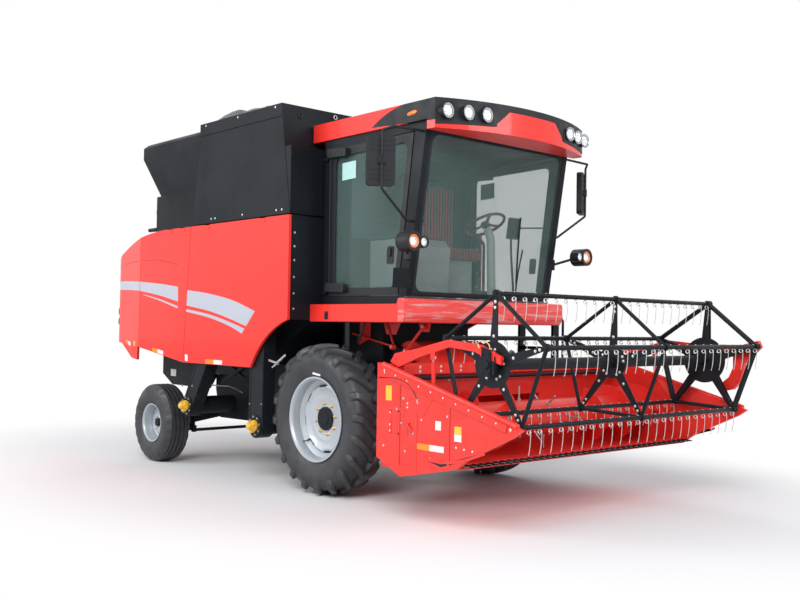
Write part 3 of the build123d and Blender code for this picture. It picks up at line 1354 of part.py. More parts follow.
front_x = REEL_X + REEL_R * cos(radians(REEL_PHASE - 360 / REEL_BARS)) + BAR_R + 11
MIDDLE_X = (HOOD_BACK_X + front_x) / 2
for name, piece in pieces.items():
    solids = piece if isinstance(piece, list) else [piece]
    whole = Compound(children=[s for p in solids for s in p.solids()])
    export_step(Pos(-MIDDLE_X, 0, 0) * whole, "parts/%s.step" % name)
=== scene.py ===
import json
import math

import bmesh
import bpy
import numpy as np
from mathutils import Matrix, Vector


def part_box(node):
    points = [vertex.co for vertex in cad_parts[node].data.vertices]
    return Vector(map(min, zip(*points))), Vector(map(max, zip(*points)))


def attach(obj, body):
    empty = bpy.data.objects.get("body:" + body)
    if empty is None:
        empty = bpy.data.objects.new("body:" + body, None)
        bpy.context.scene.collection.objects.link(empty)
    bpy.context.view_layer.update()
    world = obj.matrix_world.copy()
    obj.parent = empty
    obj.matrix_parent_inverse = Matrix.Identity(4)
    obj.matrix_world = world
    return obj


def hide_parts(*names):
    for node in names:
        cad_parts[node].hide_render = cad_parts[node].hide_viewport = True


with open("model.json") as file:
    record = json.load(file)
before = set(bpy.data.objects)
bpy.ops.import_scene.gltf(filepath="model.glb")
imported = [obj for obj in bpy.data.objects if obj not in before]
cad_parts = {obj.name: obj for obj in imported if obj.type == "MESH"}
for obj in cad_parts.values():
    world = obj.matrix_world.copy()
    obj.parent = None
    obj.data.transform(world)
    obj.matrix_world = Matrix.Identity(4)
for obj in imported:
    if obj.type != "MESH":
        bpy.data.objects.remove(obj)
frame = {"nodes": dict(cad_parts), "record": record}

scene = bpy.context.scene
scene.view_settings.view_transform = "Standard"
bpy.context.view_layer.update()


# ---- Studio ----
# Pale floor that fades into a white surround, four large soft lamps, and a camera at about eye
# height, off the right front corner, as one looks at a parked machine.
def corner_mid(node):
    """Middle of a CAD node's box."""
    low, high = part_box(node)
    return (low + high) / 2


AXLE_X = corner_mid("front_axle").x


def at(x, y, z):
    """A point given from the ground under the drive axle, in metres."""
    return np.array((x + AXLE_X, y, z), float)


def grower(tree):
    """Empties a node tree and gives the function that adds one node to it: each socket takes a
    value, or the node or output that feeds it; the other words are the node's own choices."""
    tree.nodes.clear()

    def grow(kind, sockets=(), **choices):
        node = tree.nodes.new(kind if kind.startswith("Node") else "ShaderNode" + kind)
        for word, choice in choices.items():
            setattr(node, word, choice)
        for socket, value in dict(sockets).items():
            if isinstance(value, bpy.types.Node):
                value = value.outputs[0]
            if isinstance(value, bpy.types.NodeSocket):
                tree.links.new(value, node.inputs[socket])
            else:
                node.inputs[socket].default_value = value
        return node

    return grow


def new_material(name):
    """An empty node material and the function that adds its nodes."""
    material = bpy.data.materials.new(name)
    material.use_nodes = True
    return material, grower(material.node_tree)


def look_from(place, yaw, pitch, roll):
    """Camera axes for a view that heads by yaw and pitch (degrees) and leans by roll."""
    a, b, c = (math.radians(v) for v in (yaw, pitch, roll))
    ahead = Vector((-math.cos(a) * math.cos(b), math.sin(a) * math.cos(b), math.sin(b)))
    right = ahead.cross(Vector((0, 0, 1))).normalized()
    up = right.cross(ahead)
    side = right * math.cos(c) + up * math.sin(c)
    top = up * math.cos(c) - right * math.sin(c)
    turn = Matrix((side, top, -ahead)).transposed().to_4x4()
    return Matrix.Translation(Vector(place)) @ turn


lens = bpy.data.cameras.new("view")
lens.sensor_width = 36.0
lens.lens = 43.74
lens.clip_end = 200.0
camera = bpy.data.objects.new("view", lens)
scene.collection.objects.link(camera)
camera.matrix_world = look_from(at(6.938, -6.432, 1.524), 42.008, 1.493, 0.915)
scene.camera = camera

SURROUND = 60.0
floor_mesh = bpy.data.meshes.new("floor")
floor_mesh.from_pydata(
    [(-SURROUND, -SURROUND, 0), (SURROUND, -SURROUND, 0), (SURROUND, SURROUND, 0),
     (-SURROUND, SURROUND, 0)], [], [(0, 1, 2, 3)])
floor = bpy.data.objects.new("floor", floor_mesh)
floor.location.z = -0.0015
scene.collection.objects.link(floor)
floor_paint, grow = new_material("floor")
flat = grow("VectorMath", {0: grow("TexCoord").outputs["Object"], 1: (1 / 5.2, 1 / 3.4, 0)},
            operation="MULTIPLY")
far = grow("VectorMath", {0: flat}, operation="LENGTH")
fade = grow("MapRange", {"Value": far.outputs["Value"], "From Min": 0.75, "From Max": 1.35},
            interpolation_type="SMOOTHSTEP")
seen = grow("Math", {0: fade, 1: grow("LightPath").outputs["Is Camera Ray"]}, operation="MULTIPLY")
ground = grow("BsdfDiffuse", {"Color": (0.86, 0.86, 0.865, 1)})
glow = grow("Emission", {"Strength": 1.0})
grow("OutputMaterial", {"Surface": grow("MixShader", {"Fac": seen, 1: ground, 2: glow})})
floor_mesh.materials.append(floor_paint)

world = bpy.data.worlds.new("surround")
world.use_nodes = True
scene.world = world
grow = grower(world.node_tree)
rays = grow("LightPath").outputs
seen = grow("Math", {0: rays["Is Camera Ray"], 1: rays["Is Transmission Ray"]}, operation="MAXIMUM")
mirrored = grow("Math", {0: seen, 1: rays["Is Glossy Ray"]}, operation="MAXIMUM")
dim = grow("Background", {"Color": (0.86, 0.90, 0.96, 1), "Strength": 0.45})
bright = grow("Background", {"Color": (1, 1, 1, 1), "Strength": 1.0})
grow("OutputWorld", {"Surface": grow("MixShader", {"Fac": mirrored, 1: dim, 2: bright})})

# name, place, aimed at, width and height in metres, power in watts
LAMPS = (
    ("key", (7.0, -9.0, 8.0), (0, 0, 1.4), 6.0, 5.0, 1020.0),
    ("side", (-5.0, -10.0, 5.0), (-1.5, 0, 1.6), 6.0, 4.0, 520.0),
    ("front", (11.0, 3.0, 5.5), (1.0, 0, 1.4), 5.0, 4.0, 420.0),
    ("back", (-9.0, 6.0, 6.5), (-1.0, 0, 1.6), 6.0, 5.0, 360.0),
)
for name, where, target, wide, high, power in LAMPS:
    light = bpy.data.lights.new(name, "AREA")
    light.shape = "RECTANGLE"
    light.size, light.size_y, light.energy = wide, high, power
    lamp = bpy.data.objects.new(name, light)
    scene.collection.objects.link(lamp)
    lamp.location = at(*where)
    aim = Vector(at(*target)) - lamp.location
    lamp.rotation_euler = aim.to_track_quat("-Z", "Y").to_euler()


# ---- Paints ----
# Every coat is a Principled shader fed by one finish group: cloudy tone, dust that thickens
# towards the ground, and a fine surface bump, each mixed to the material's own values.
FINISH_VALUES = ("Tone", "Tone Scale", "Dust", "Dust Height", "Smooth", "Rough", "Bump Scale", "Bump")


def finish_group():
    """Cloudy tone, ground dust and fine bump as one group with named sockets."""
    tree = bpy.data.node_groups.new("finish", "ShaderNodeTree")
    for name, value in (("Color", (0.5, 0.5, 0.5, 1)), ("Dust Color", (0.35, 0.30, 0.24, 1))):
        tree.interface.new_socket(name, in_out="INPUT",
                                  socket_type="NodeSocketColor").default_value = value
    for name in FINISH_VALUES:
        tree.interface.new_socket(name, in_out="INPUT", socket_type="NodeSocketFloat")
    for name, kind in (("Color", "Color"), ("Roughness", "Float"), ("Normal", "Vector"),
                       ("Dust", "Float")):
        tree.interface.new_socket(name, in_out="OUTPUT", socket_type="NodeSocket" + kind)
    grow = grower(tree)
    given = grow("NodeGroupInput").outputs
    spot = grow("TexCoord").outputs["Object"]
    cloud = grow("TexNoise", {"Vector": spot, "Scale": given["Tone Scale"], "Detail": 5.0})
    spread = grow("MapRange", {"Value": cloud, "From Min": 0.35, "From Max": 0.65})
    shade = grow("Math", {0: spread, 1: given["Tone"]}, operation="MULTIPLY")
    darker = grow("Mix", {"Factor": shade, "A": given["Color"], "B": (0.25, 0.25, 0.27, 1)},
                  data_type="RGBA", blend_type="MULTIPLY")
    height = grow("SeparateXYZ", {0: spot}).outputs["Z"]
    low = grow("MapRange", {"Value": height, "From Min": 0.0, "From Max": given["Dust Height"],
                            "To Min": 1.0, "To Max": 0.12})
    grains = grow("TexNoise", {"Vector": spot, "Scale": 14.0, "Detail": 8.0, "Roughness": 0.7})
    patch = grow("MapRange", {"Value": grains, "From Min": 0.38, "From Max": 0.72})
    thick = grow("Math", {0: low, 1: patch}, operation="MULTIPLY")
    amount = grow("Math", {0: thick, 1: given["Dust"]}, operation="MULTIPLY")
    dusty = grow("Mix", {"Factor": amount, "A": darker.outputs["Result"], "B": given["Dust Color"]},
                 data_type="RGBA")
    gloss = grow("Mix", {"Factor": spread, "A": given["Smooth"], "B": given["Rough"]},
                 data_type="FLOAT")
    matte = grow("Math", {0: gloss.outputs["Result"], 1: amount}, operation="ADD", use_clamp=True)
    fine = grow("TexNoise", {"Vector": spot, "Scale": given["Bump Scale"], "Detail": 3.0})
    bump = grow("Bump", {"Height": fine, "Strength": given["Bump"], "Distance": 0.002})
    grow("NodeGroupOutput", {"Color": dusty.outputs["Result"], "Roughness": matte, "Normal": bump,
                             "Dust": amount})
    return tree


FINISH = finish_group()


def painted(material, grow, sockets):
    """Ends a material with its Principled shader."""
    grow("OutputMaterial", {"Surface": grow("BsdfPrincipled", sockets)})
    return material


def coat(name, color, finish, metallic=0.0, clear=0.0, clear_rough=0.08, sheen=0.0, specular=0.5):
    """A finished coat: the finish group takes finish in the order of FINISH_VALUES, and the
    Principled shader's constants stay on its own sockets."""
    material, grow = new_material(name)
    group = grow("Group", {"Color": (*color, 1), **dict(zip(FINISH_VALUES, finish))}, node_tree=FINISH)
    return painted(material, grow, {
        "Base Color": group.outputs["Color"], "Roughness": group.outputs["Roughness"],
        "Normal": group.outputs["Normal"], "Metallic": metallic, "Coat Weight": clear,
        "Coat Roughness": clear_rough, "Sheen Weight": sheen, "Specular IOR Level": specular})


# name, colour, then tone and its scale, dust and its height, smooth and rough, bump scale
# and bump
RED = coat("red_paint", (0.84, 0.030, 0.021),
           (0.1, 1.3, 0.1, 1.6, 0.3, 0.42, 90.0, 0.035), clear=0.30, clear_rough=0.06, specular=0.25)
BLACK = coat("black_paint", (0.0085, 0.0115, 0.016),
             (0.3, 2.2, 0.05, 1.5, 0.34, 0.5, 130.0, 0.05), specular=0.14)
SILVER = coat("silver_paint", (0.45, 0.49, 0.53),
              (0.12, 5.0, 0.1, 1.3, 0.28, 0.42, 160.0, 0.04), metallic=0.35, clear=0.25)
YELLOW = coat("yellow_paint", (0.88, 0.50, 0.02),
              (0.15, 9.0, 0.2, 1.2, 0.3, 0.45, 150.0, 0.05), clear=0.3)
RUBBER = coat("rubber", (0.022, 0.025, 0.031), (0.3, 6.0, 0.08, 1.5, 0.4, 0.62, 220.0, 0.12),
              specular=0.5)
STEEL = coat("worked_steel", (0.50, 0.50, 0.49),
             (0.35, 12.0, 0.2, 1.2, 0.28, 0.5, 300.0, 0.1), metallic=0.9)
ZINC = coat("zinc_wire", (0.66, 0.66, 0.64), (0.2, 30.0, 0.1, 1.2, 0.3, 0.45, 150.0, 0.05),
            metallic=0.75)
CHROME = coat("chrome_rod", (0.78, 0.79, 0.80),
              (0.05, 3.0, 0.05, 1.2, 0.06, 0.14, 150.0, 0.01), metallic=1.0)
PLASTIC = coat("black_plastic", (0.014, 0.016, 0.020),
               (0.2, 8.0, 0.04, 1.2, 0.42, 0.55, 500.0, 0.12), specular=0.25)
GREY = coat("cab_lining", (0.40, 0.45, 0.43),
            (0.1, 6.0, 0.02, 1.2, 0.5, 0.65, 60.0, 0.03))
TARP = coat("tarpaulin", (0.030, 0.034, 0.040),
            (0.4, 4.0, 0.1, 1.2, 0.38, 0.6, 60.0, 0.3), sheen=0.15)


def clear_glass(name, tint, alpha):
    """Tinted pane: a thin see-through layer under a sharp reflection."""
    material, grow = new_material(name)
    smear = grow("TexNoise",
                 {"Vector": grow("TexCoord").outputs["Object"], "Scale": 1.6, "Detail": 3.0})
    level = grow("MapRange", {"Value": smear, "To Min": alpha - 0.04, "To Max": alpha + 0.06})
    return painted(material, grow,
                   {"Base Color": (*tint, 1), "Roughness": 0.03, "Alpha": level,
                    "Specular IOR Level": 0.5})


GLASS = clear_glass("tinted_glass", (0.15, 0.24, 0.225), 0.23)
LENS = clear_glass("lamp_lens", (0.8, 0.82, 0.83), 0.25)
AMBER = coat("amber_lens", (0.85, 0.19, 0.008),
             (0.1, 3.0, 0.03, 1.2, 0.12, 0.2, 150.0, 0.05), clear=0.6)
MIRROR = coat("mirror_plate", (0.86, 0.87, 0.88),
              (0.0, 3.0, 0.02, 1.2, 0.01, 0.03, 150.0, 0.0), metallic=1.0)
SLOT_COAT = {"red_paint": RED, "black_paint": BLACK, "silver_paint": SILVER, "yellow_paint": YELLOW,
             "tyre": RUBBER, "glass": GLASS, "clear_lens": LENS, "amber_lens": AMBER, "mirror": MIRROR,
             "black_plastic": PLASTIC, "grey_plastic": GREY, "wheel_plastic": PLASTIC,
             "seat_fabric": PLASTIC, "tarpaulin": TARP, "steel": STEEL, "tine_steel": ZINC,
             "chrome": CHROME, "cast_iron": BLACK}
SLOT_OF = {row["node"]: row["material_slot"] for row in frame["record"]["subparts"]}
for node, solid in frame["nodes"].items():
    solid.data.materials.clear()
    solid.data.materials.append(SLOT_COAT[SLOT_OF[node]])


# ---- Drive tyres ----
# Radial tractor tyres, black rubber: a smooth carcass with two rows of twenty slanted lugs that
# meet in a V at the middle, wrap the shoulder and run out on the sidewall.
def sheet_of(points, around=False, along=False, caps=False):
    """Quads over a grid of points (rows, columns, 3); around joins the last column to the first,
    along joins the last row to the first, caps closes the first and last row with one face each."""
    rows, cols = points.shape[:2]
    index = np.arange(rows * cols).reshape(rows, cols)
    if around:
        index = np.concatenate([index, index[:, :1]], axis=1)
    if along:
        index = np.concatenate([index, index[:1]], axis=0)
    quads = np.stack([index[:-1, :-1], index[:-1, 1:], index[1:, 1:], index[1:, :-1]], axis=-1)
    faces = quads.reshape(-1, 4).tolist()
    if caps:
        faces.append(np.arange(cols)[::-1].tolist())
        faces.append(((rows - 1) * cols + np.arange(cols)).tolist())
    return points.reshape(-1, 3), faces


def joined(parts):
    """One list of points and faces from several."""
    points, faces, start = [], [], 0
    for some, cells in parts:
        points.append(some)
        faces += [[i + start for i in cell] for cell in cells]
        start += len(some)
    return np.concatenate(points), faces


def shown(name, mesh, paint, smooth, bevel, angle):
    """A mesh as an object of the scene: its paint, edges sharper than smooth (degrees) kept sharp,
    and edges sharper than angle rounded by bevel."""
    mesh.shade_smooth()
    mesh.set_sharp_from_angle(angle=math.radians(smooth))
    mesh.materials.clear()
    mesh.materials.append(paint)
    piece = bpy.data.objects.new(name, mesh)
    scene.collection.objects.link(piece)
    if bevel:
        round_off = piece.modifiers.new("edges", "BEVEL")
        round_off.width = bevel
        round_off.segments = 2
        round_off.limit_method = "ANGLE"
        round_off.angle_limit = math.radians(angle)
        round_off.harden_normals = True
    return piece


def face_out(mesh, merge=False):
    """Turns a mesh's faces outwards; merge first joins its doubles and its flat areas."""
    work = bmesh.new()
    work.from_mesh(mesh)
    if merge:
        bmesh.ops.remove_doubles(work, verts=work.verts, dist=0.00008)
        bmesh.ops.dissolve_limit(work, angle_limit=math.radians(0.8), verts=work.verts,
                                 edges=work.edges)
    bmesh.ops.recalc_face_normals(work, faces=work.faces)
    work.to_mesh(mesh)
    work.free()


def put(name, parts, paint, body="chassis", bevel=0.0, smooth=35.0, stands_for=()):
    """A finished piece of points and faces, on its body and in its paint."""
    points, faces = joined(parts)
    mesh = bpy.data.meshes.new(name)
    mesh.from_pydata(points.tolist(), [], faces)
    face_out(mesh)
    piece = shown(name, mesh, paint, smooth, bevel, 32.0)
    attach(piece, body)
    if stands_for:
        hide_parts(*stands_for)
    return piece


POLE = 0.0006  # a solid turned shape closes on a tiny flat of this radius


def turned(profile, centre, count, way="y", closed=False):
    """A profile of (radius, offset) turned about an axis: angle around, profile along the rows."""
    profile = np.asarray(profile, float)
    angle = np.linspace(0, 2 * np.pi, count, endpoint=False)
    r, o = profile[:, :1], profile[:, 1:2]
    a, b = r * np.cos(angle), r * np.sin(angle)
    o = o + 0 * a
    order = {"y": (a, o, b), "x": (o, a, b), "z": (a, b, o)}[way]
    points = np.stack(order, axis=-1) + np.asarray(centre, float)
    return sheet_of(points, around=True, along=closed, caps=not closed)


def smooth_path(stops, count):
    """Points along a curve through the stops, evenly spread by length (Catmull-Rom)."""
    stops = np.asarray(stops, float)
    padded = np.concatenate([2 * stops[:1] - stops[1:2], stops, 2 * stops[-1:] - stops[-2:-1]])
    t = np.linspace(0, 1, 24, endpoint=False)[:, None]
    runs = []
    for p0, p1, p2, p3 in zip(padded[:-3], padded[1:-2], padded[2:-1], padded[3:]):
        runs.append(0.5 * (2 * p1 + (p2 - p0) * t + (2 * p0 - 5 * p1 + 4 * p2 - p3) * t**2
                           + (3 * p1 - p0 - 3 * p2 + p3) * t**3))
    fine = np.concatenate(runs + [stops[-1:]])
    length = np.concatenate([[0], np.cumsum(np.linalg.norm(np.diff(fine, axis=0), axis=1))])
    wanted = np.linspace(0, length[-1], count)
    return np.stack([np.interp(wanted, length, fine[:, i]) for i in range(fine.shape[1])], axis=1)


def tyre_carcass(centre, profile, count=96):
    """Closed body of a tyre, its half profile mirrored about the middle plane."""
    half = smooth_path(profile, 22)
    whole = np.concatenate([half * (1, -1), half[::-1][1:]])
    return turned(whole, centre, count, closed=True)


def lug(centre, side, start):
    """One lug: a trapezoid carried from the middle line over the shoulder. Its angle lags as it
    goes outwards, 15 degrees by the shoulder, and its depth runs out on the sidewall."""
    crown = smooth_path([(0.676, -0.014), (0.6757, 0.04), (0.672, 0.095), (0.662, 0.138),
                         (0.645, 0.167), (0.618, 0.184), (0.585, 0.1895), (0.555, 0.187)], 13)
    u = np.linspace(0, 1, 13)
    r, y = crown[:, 0], crown[:, 1]
    slope = np.gradient(crown, axis=0)
    slope /= np.linalg.norm(slope, axis=1)[:, None]
    deep = 0.050 - 0.040 * np.clip((u - 0.70) / 0.30, 0, 1)
    low_r, low_y = r - deep * slope[:, 1], y + deep * slope[:, 0]
    lag = np.radians(15.0) * (1 - (1 - np.clip(y, 0, 0.19) / 0.2) ** 1.5)
    middle = start + lag
    nose = np.clip(u / 0.10 + 0.45, 0, 1)
    wide = np.radians(2.7) * nose
    foot = np.radians(4.1) * nose
    near = 0.18 * deep
    rim_r, rim_y = r - near * slope[:, 1], y + near * slope[:, 0]
    rows = []
    for a, rr, yy in (
        (-foot, low_r, low_y), (-wide * 1.12, rim_r, rim_y), (-wide * 0.84, r, y), (0 * wide, r, y),
        (wide * 0.84, r, y), (wide * 1.12, rim_r, rim_y), (foot, low_r, low_y),
    ):
        angle = middle + a
        rows.append(np.stack([rr * np.cos(angle), side * yy, rr * np.sin(angle)], axis=-1))
    points = np.stack(rows, axis=1) + np.asarray(centre, float)
    return sheet_of(points, around=True, caps=True)


LUGS = 20
DRIVE_HALF = [(0.352, 0.100), (0.352, 0.134), (0.366, 0.143), (0.384, 0.150), (0.392, 0.158),
              (0.44, 0.176), (0.51, 0.188), (0.565, 0.180), (0.604, 0.158), (0.626, 0.120),
              (0.636, 0.06), (0.638, 0.0)]
for side in ("right", "left"):
    hub = corner_mid("front_tyre_" + side)
    step = 2 * math.pi / LUGS
    parts = [tyre_carcass(hub, DRIVE_HALF)]
    for n in range(LUGS):
        parts.append(lug(hub, 1, n * step))
        parts.append(lug(hub, -1, (n + 0.5) * step))
    put("drive_tyre_" + side, parts, RUBBER, "front_wheel_" + side, smooth=40,
        stands_for=["front_tyre_" + side])

# ---- Steered tyres ----
# Small implement tyres, black rubber: four round ribs and a row of blocks on each shoulder.
STEPS = 120
for side in ("right", "left"):
    low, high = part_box("rear_tyre_" + side)
    hub = (low + high) / 2
    half = (high.y - low.y) / 2
    crown = (high.z - low.z) / 2
    profile = [(0.197, half - 0.040), (0.222, half - 0.022), (0.262, half - 0.006),
               (0.305, half - 0.001), (0.352, half - 0.006), (crown - 0.042, half - 0.016)]
    tread = [(crown - 0.020, half - 0.030), (crown - 0.007, half - 0.044)]
    for rib in (0.072, 0.024, -0.024, -0.072):
        tread += [(crown - 0.016, rib + 0.020), (crown - 0.004, rib + 0.015), (crown - 0.001, rib),
                  (crown - 0.004, rib - 0.015), (crown - 0.016, rib - 0.020)]
    tread += [(r, -y) for r, y in tread[1::-1]]
    whole = profile + tread + [(r, -y) for r, y in profile[::-1]]
    shell = turned(np.array(whole), hub, STEPS, closed=True)
    points = shell[0].reshape(len(whole), STEPS, 3)
    spoke = points - np.array(hub)
    shoulders = [5, 6, len(whole) - 7, len(whole) - 6]
    notch = (np.arange(STEPS) % 5 < 2)[None, :] * np.isin(np.arange(len(whole)), shoulders)[:, None]
    points = np.array(hub) + spoke * (1 - 0.030 * notch[..., None] * np.array((1, 0.4, 1)))
    put("steered_tyre_" + side, [(points.reshape(-1, 3), shell[1])], RUBBER, "rear_wheel_" + side,
        smooth=30, stands_for=["rear_tyre_" + side])


# ---- Wheels ----
# Pressed steel rims painted silver, with a dished disc held by eight plated nuts round a black
# hub; the drive rims have a stepped well and eight weld tabs, the steered ones a plain dish.
def nut_row(centre, radius, count, size, height, face, start=0.0):
    """Hexagon nuts standing on a circle in a plane across y, facing the way of face (-1 or 1)."""
    parts = []
    around = start + np.arange(count) * 2 * np.pi / count
    six = np.arange(6) * np.pi / 3
    for a in around:
        mid = np.array(centre) + np.array((radius * math.cos(a), 0, radius * math.sin(a)))
        rows = []
        for scale, off in ((1.35, 0.0), (1.35, 0.2), (1.0, 0.2), (1.0, 0.9), (0.82, 1.0), (0.45, 1.0),
                           (0.45, 1.5), (0.3, 1.6)):
            ring = np.stack([np.cos(six) * size * scale, 0 * six + face * height * off,
                             np.sin(six) * size * scale], axis=-1)
            rows.append(ring + mid)
        parts.append(sheet_of(np.stack(rows), around=True, caps=True))
    return parts


SIDES = (("right", -1), ("left", 1))
GOLD = coat("plated_nut", (0.72, 0.52, 0.22), (0.2, 40.0, 0.15, 1.2, 0.25, 0.4, 150.0, 0.05),
            metallic=0.85)
for side, s in SIDES:
    low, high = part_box("front_rim_" + side)
    hub = np.array((low + high) / 2)
    out = (high.y - low.y) / 2
    barrel = [(0.3795, out), (0.3795, out - 0.010), (0.366, out - 0.018), (0.3575, out - 0.030),
              (0.3570, out - 0.092), (0.345, out - 0.100), (0.320, out - 0.118), (0.318, -0.02),
              (0.335, -0.05), (0.3575, -0.075), (0.3575, -out + 0.03), (0.3795, -out + 0.008),
              (0.3795, -out), (0.362, -out + 0.004), (0.346, -out + 0.034), (0.346, -0.085),
              (0.324, -0.056), (0.306, -0.03), (0.306, out - 0.124), (0.330, out - 0.104),
              (0.346, out - 0.094), (0.3465, out - 0.030), (0.356, out - 0.010), (0.366, out - 0.001)]
    parts = [turned(np.array(barrel) * (1, s), hub, 96, closed=True)]
    disc = [(0.304, 0.040), (0.298, 0.052), (0.285, 0.056), (0.262, 0.050), (0.232, 0.041),
            (0.205, 0.037), (0.190, 0.038), (0.180, 0.034), (0.120, 0.034), (0.1056, 0.034),
            (0.1056, 0.022), (0.19, 0.022), (0.23, 0.028), (0.285, 0.042), (0.300, 0.030)]
    shell = turned(np.array(disc) * (1, s), hub, 96, closed=True)
    points = shell[0].reshape(len(disc), 96, 3)
    edge = np.isin(np.arange(len(disc)), [0, 1, 2, 13, 14])[:, None]
    gap = ((np.arange(96) % 12) < 5)[None, :] * edge
    spoke = points - hub
    points = hub + spoke * (1 - 0.05 * gap[..., None] * np.array((1, 0, 1)))
    parts.append((points.reshape(-1, 3), shell[1]))
    put("drive_rim_" + side, parts, SILVER, "front_wheel_" + side, smooth=28,
        stands_for=["front_rim_" + side])
    face = hub + np.array((0, s * 0.034, 0))
    put("drive_nuts_" + side, nut_row(face, 0.138, 8, 0.0135, 0.016, s, 0.2), GOLD,
        "front_wheel_" + side, bevel=0.0008)
    cap = [(0.104, 0.030), (0.104, 0.047), (0.098, 0.052), (0.062, 0.053), (0.058, 0.060),
           (0.030, 0.062), (0.001, 0.062), (0.001, 0.030)]
    put("drive_cap_" + side, [turned(np.array(cap) * (1, s), hub, 40)], BLACK, "front_wheel_" + side,
        smooth=30)
    stem = smooth_path([hub + (-0.22, s * 0.045, -0.20), hub + (-0.235, s * 0.07, -0.215),
                        hub + (-0.245, s * 0.105, -0.222)], 6)
    rings = []
    for p, r in zip(stem, (0.009, 0.008, 0.006, 0.005, 0.005, 0.004)):
        ring = np.arange(8) * np.pi / 4
        rings.append(p + r * np.stack([np.cos(ring), 0 * ring, np.sin(ring)], axis=-1))
    put("drive_valve_" + side, [sheet_of(np.stack(rings), around=True, caps=True)], PLASTIC,
        "front_wheel_" + side)
    low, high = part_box("rear_rim_" + side)
    hub = np.array((low + high) / 2)
    out = (high.y - low.y) / 2
    barrel = [(0.2085, out), (0.2085, out - 0.008), (0.200, out - 0.014), (0.1955, out - 0.022),
              (0.1955, -out + 0.022), (0.2085, -out + 0.008), (0.2085, -out), (0.195, -out + 0.004),
              (0.186, -out + 0.024), (0.186, out - 0.024), (0.192, out - 0.008), (0.199, out - 0.001)]
    parts = [turned(np.array(barrel) * (1, s), hub, 72, closed=True)]
    dish = [(0.187, 0.006), (0.180, 0.020), (0.165, 0.022), (0.140, 0.014), (0.112, 0.038),
            (0.100, 0.040), (0.0455, 0.038), (0.0455, 0.026), (0.105, 0.026), (0.138, 0.000),
            (0.170, 0.008), (0.182, 0.000)]
    parts.append(turned(np.array(dish) * (1, s), hub, 72, closed=True))
    put("steered_rim_" + side, parts, SILVER, "rear_wheel_" + side, smooth=28,
        stands_for=["rear_rim_" + side])
    face = hub + np.array((0, s * 0.040, 0))
    put("steered_nuts_" + side, nut_row(face, 0.075, 6, 0.011, 0.013, s), ZINC, "rear_wheel_" + side,
        bevel=0.0008)
    cap = [(0.045, 0.030), (0.046, 0.052), (0.042, 0.062), (0.030, 0.066), (0.001, 0.067),
           (0.001, 0.030)]
    put("steered_cap_" + side, [turned(np.array(cap) * (1, s), hub, 32)], BLACK, "rear_wheel_" + side,
        smooth=30)


# ---- Softened bodywork ----
# Pressed and welded sheet has no knife edges: each CAD solid that stays as it is gets a copy of
# its own mesh, cleaned of needless triangles, with a small rounded edge that catches the light.
def softened(node, width, body, paint=None, smooth=30.0, shift=None):
    """A copy of a CAD node's mesh with flat areas merged and its sharp edges rounded by width;
    shift, where given, first moves the copy's points."""
    mesh = frame["nodes"][node].data.copy()
    mesh.name = node + "_soft"
    if shift:
        points = np.zeros(len(mesh.vertices) * 3)
        mesh.vertices.foreach_get("co", points)
        mesh.vertices.foreach_set("co", shift(points.reshape(-1, 3)).ravel())
    face_out(mesh, merge=True)
    piece = shown(node + "_soft", mesh, paint or SLOT_COAT[SLOT_OF[node]], smooth, width,
                  max(smooth, 30.0))
    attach(piece, body)
    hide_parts(node)
    return piece


BODY_OF = {}
for body, held in frame["record"]["behaviour"]["bodies"].items():
    for node in held:
        BODY_OF[node] = body
SOFT_EDGE = {"front_panel_right": 0.006, "front_panel_left": 0.006, "rear_panel_right": 0.006,
             "rear_panel_left": 0.006, "grain_tank": 0.005, "engine_hood": 0.008, "cab_deck": 0.010,
             "cab_roof": 0.012, "roof_visor": 0.012, "header_frame": 0.003, "feeder_house": 0.004,
             "elevators": 0.004, "threshing_body": 0.004, "chassis_frame": 0.004, "reel_arms": 0.004,
             "ladder": 0.003, "unloading_auger": 0.002, "front_axle": 0.004, "rear_axle": 0.004,
             "cab_interior": 0.010}
for node, width in SOFT_EDGE.items():
    softened(node, width, BODY_OF[node])


# ---- Header end sheets ----
# Folded sheet ends of the cutting table, painted red: a bolted rail along the sloping top edge,
# a diagonal gusset, a welded latch frame, a stiffening strip, reflectors, and below the strip a black
# sliver of painted shade for the gap at the skid flap.
def prism(outline, y0, y1):
    """A flat outline of (x, z) carried from y0 to y1."""
    outline = np.asarray(outline, float)
    rows = [np.stack([outline[:, 0] + AXLE_X, 0 * outline[:, 0] + y, outline[:, 1]],
                     axis=-1) for y in (y0, y1)]
    return sheet_of(np.stack(rows), around=True, caps=True)


def slab(x0, z0, x1, z1, y0, y1):
    """A block between two corners (x, z), carried from y0 to y1."""
    return prism([(x0, z0), (x1, z0), (x1, z1), (x0, z1)], y0, y1)


def bent(stops, count):
    """Points along a smooth path through stops given from under the drive axle."""
    return smooth_path([at(*stop) for stop in stops], count)


def bar_between(start, end, wide, thick, up=(0, 0, 1)):
    """A flat bar from start to end: its section is wide along up and thick across."""
    start, end, up = (np.asarray(v, float) for v in (start, end, up))
    along = (end - start) / np.linalg.norm(end - start)
    across = np.cross(along, up)
    across /= np.linalg.norm(across)
    rise = np.cross(across, along)
    corners = [(-1, -1), (1, -1), (1, 1), (-1, 1)]
    rows = [[p + across * a * thick / 2 + rise * b * wide / 2 for a, b in corners]
            for p in (start, end)]
    return sheet_of(np.array(rows), around=True, caps=True)


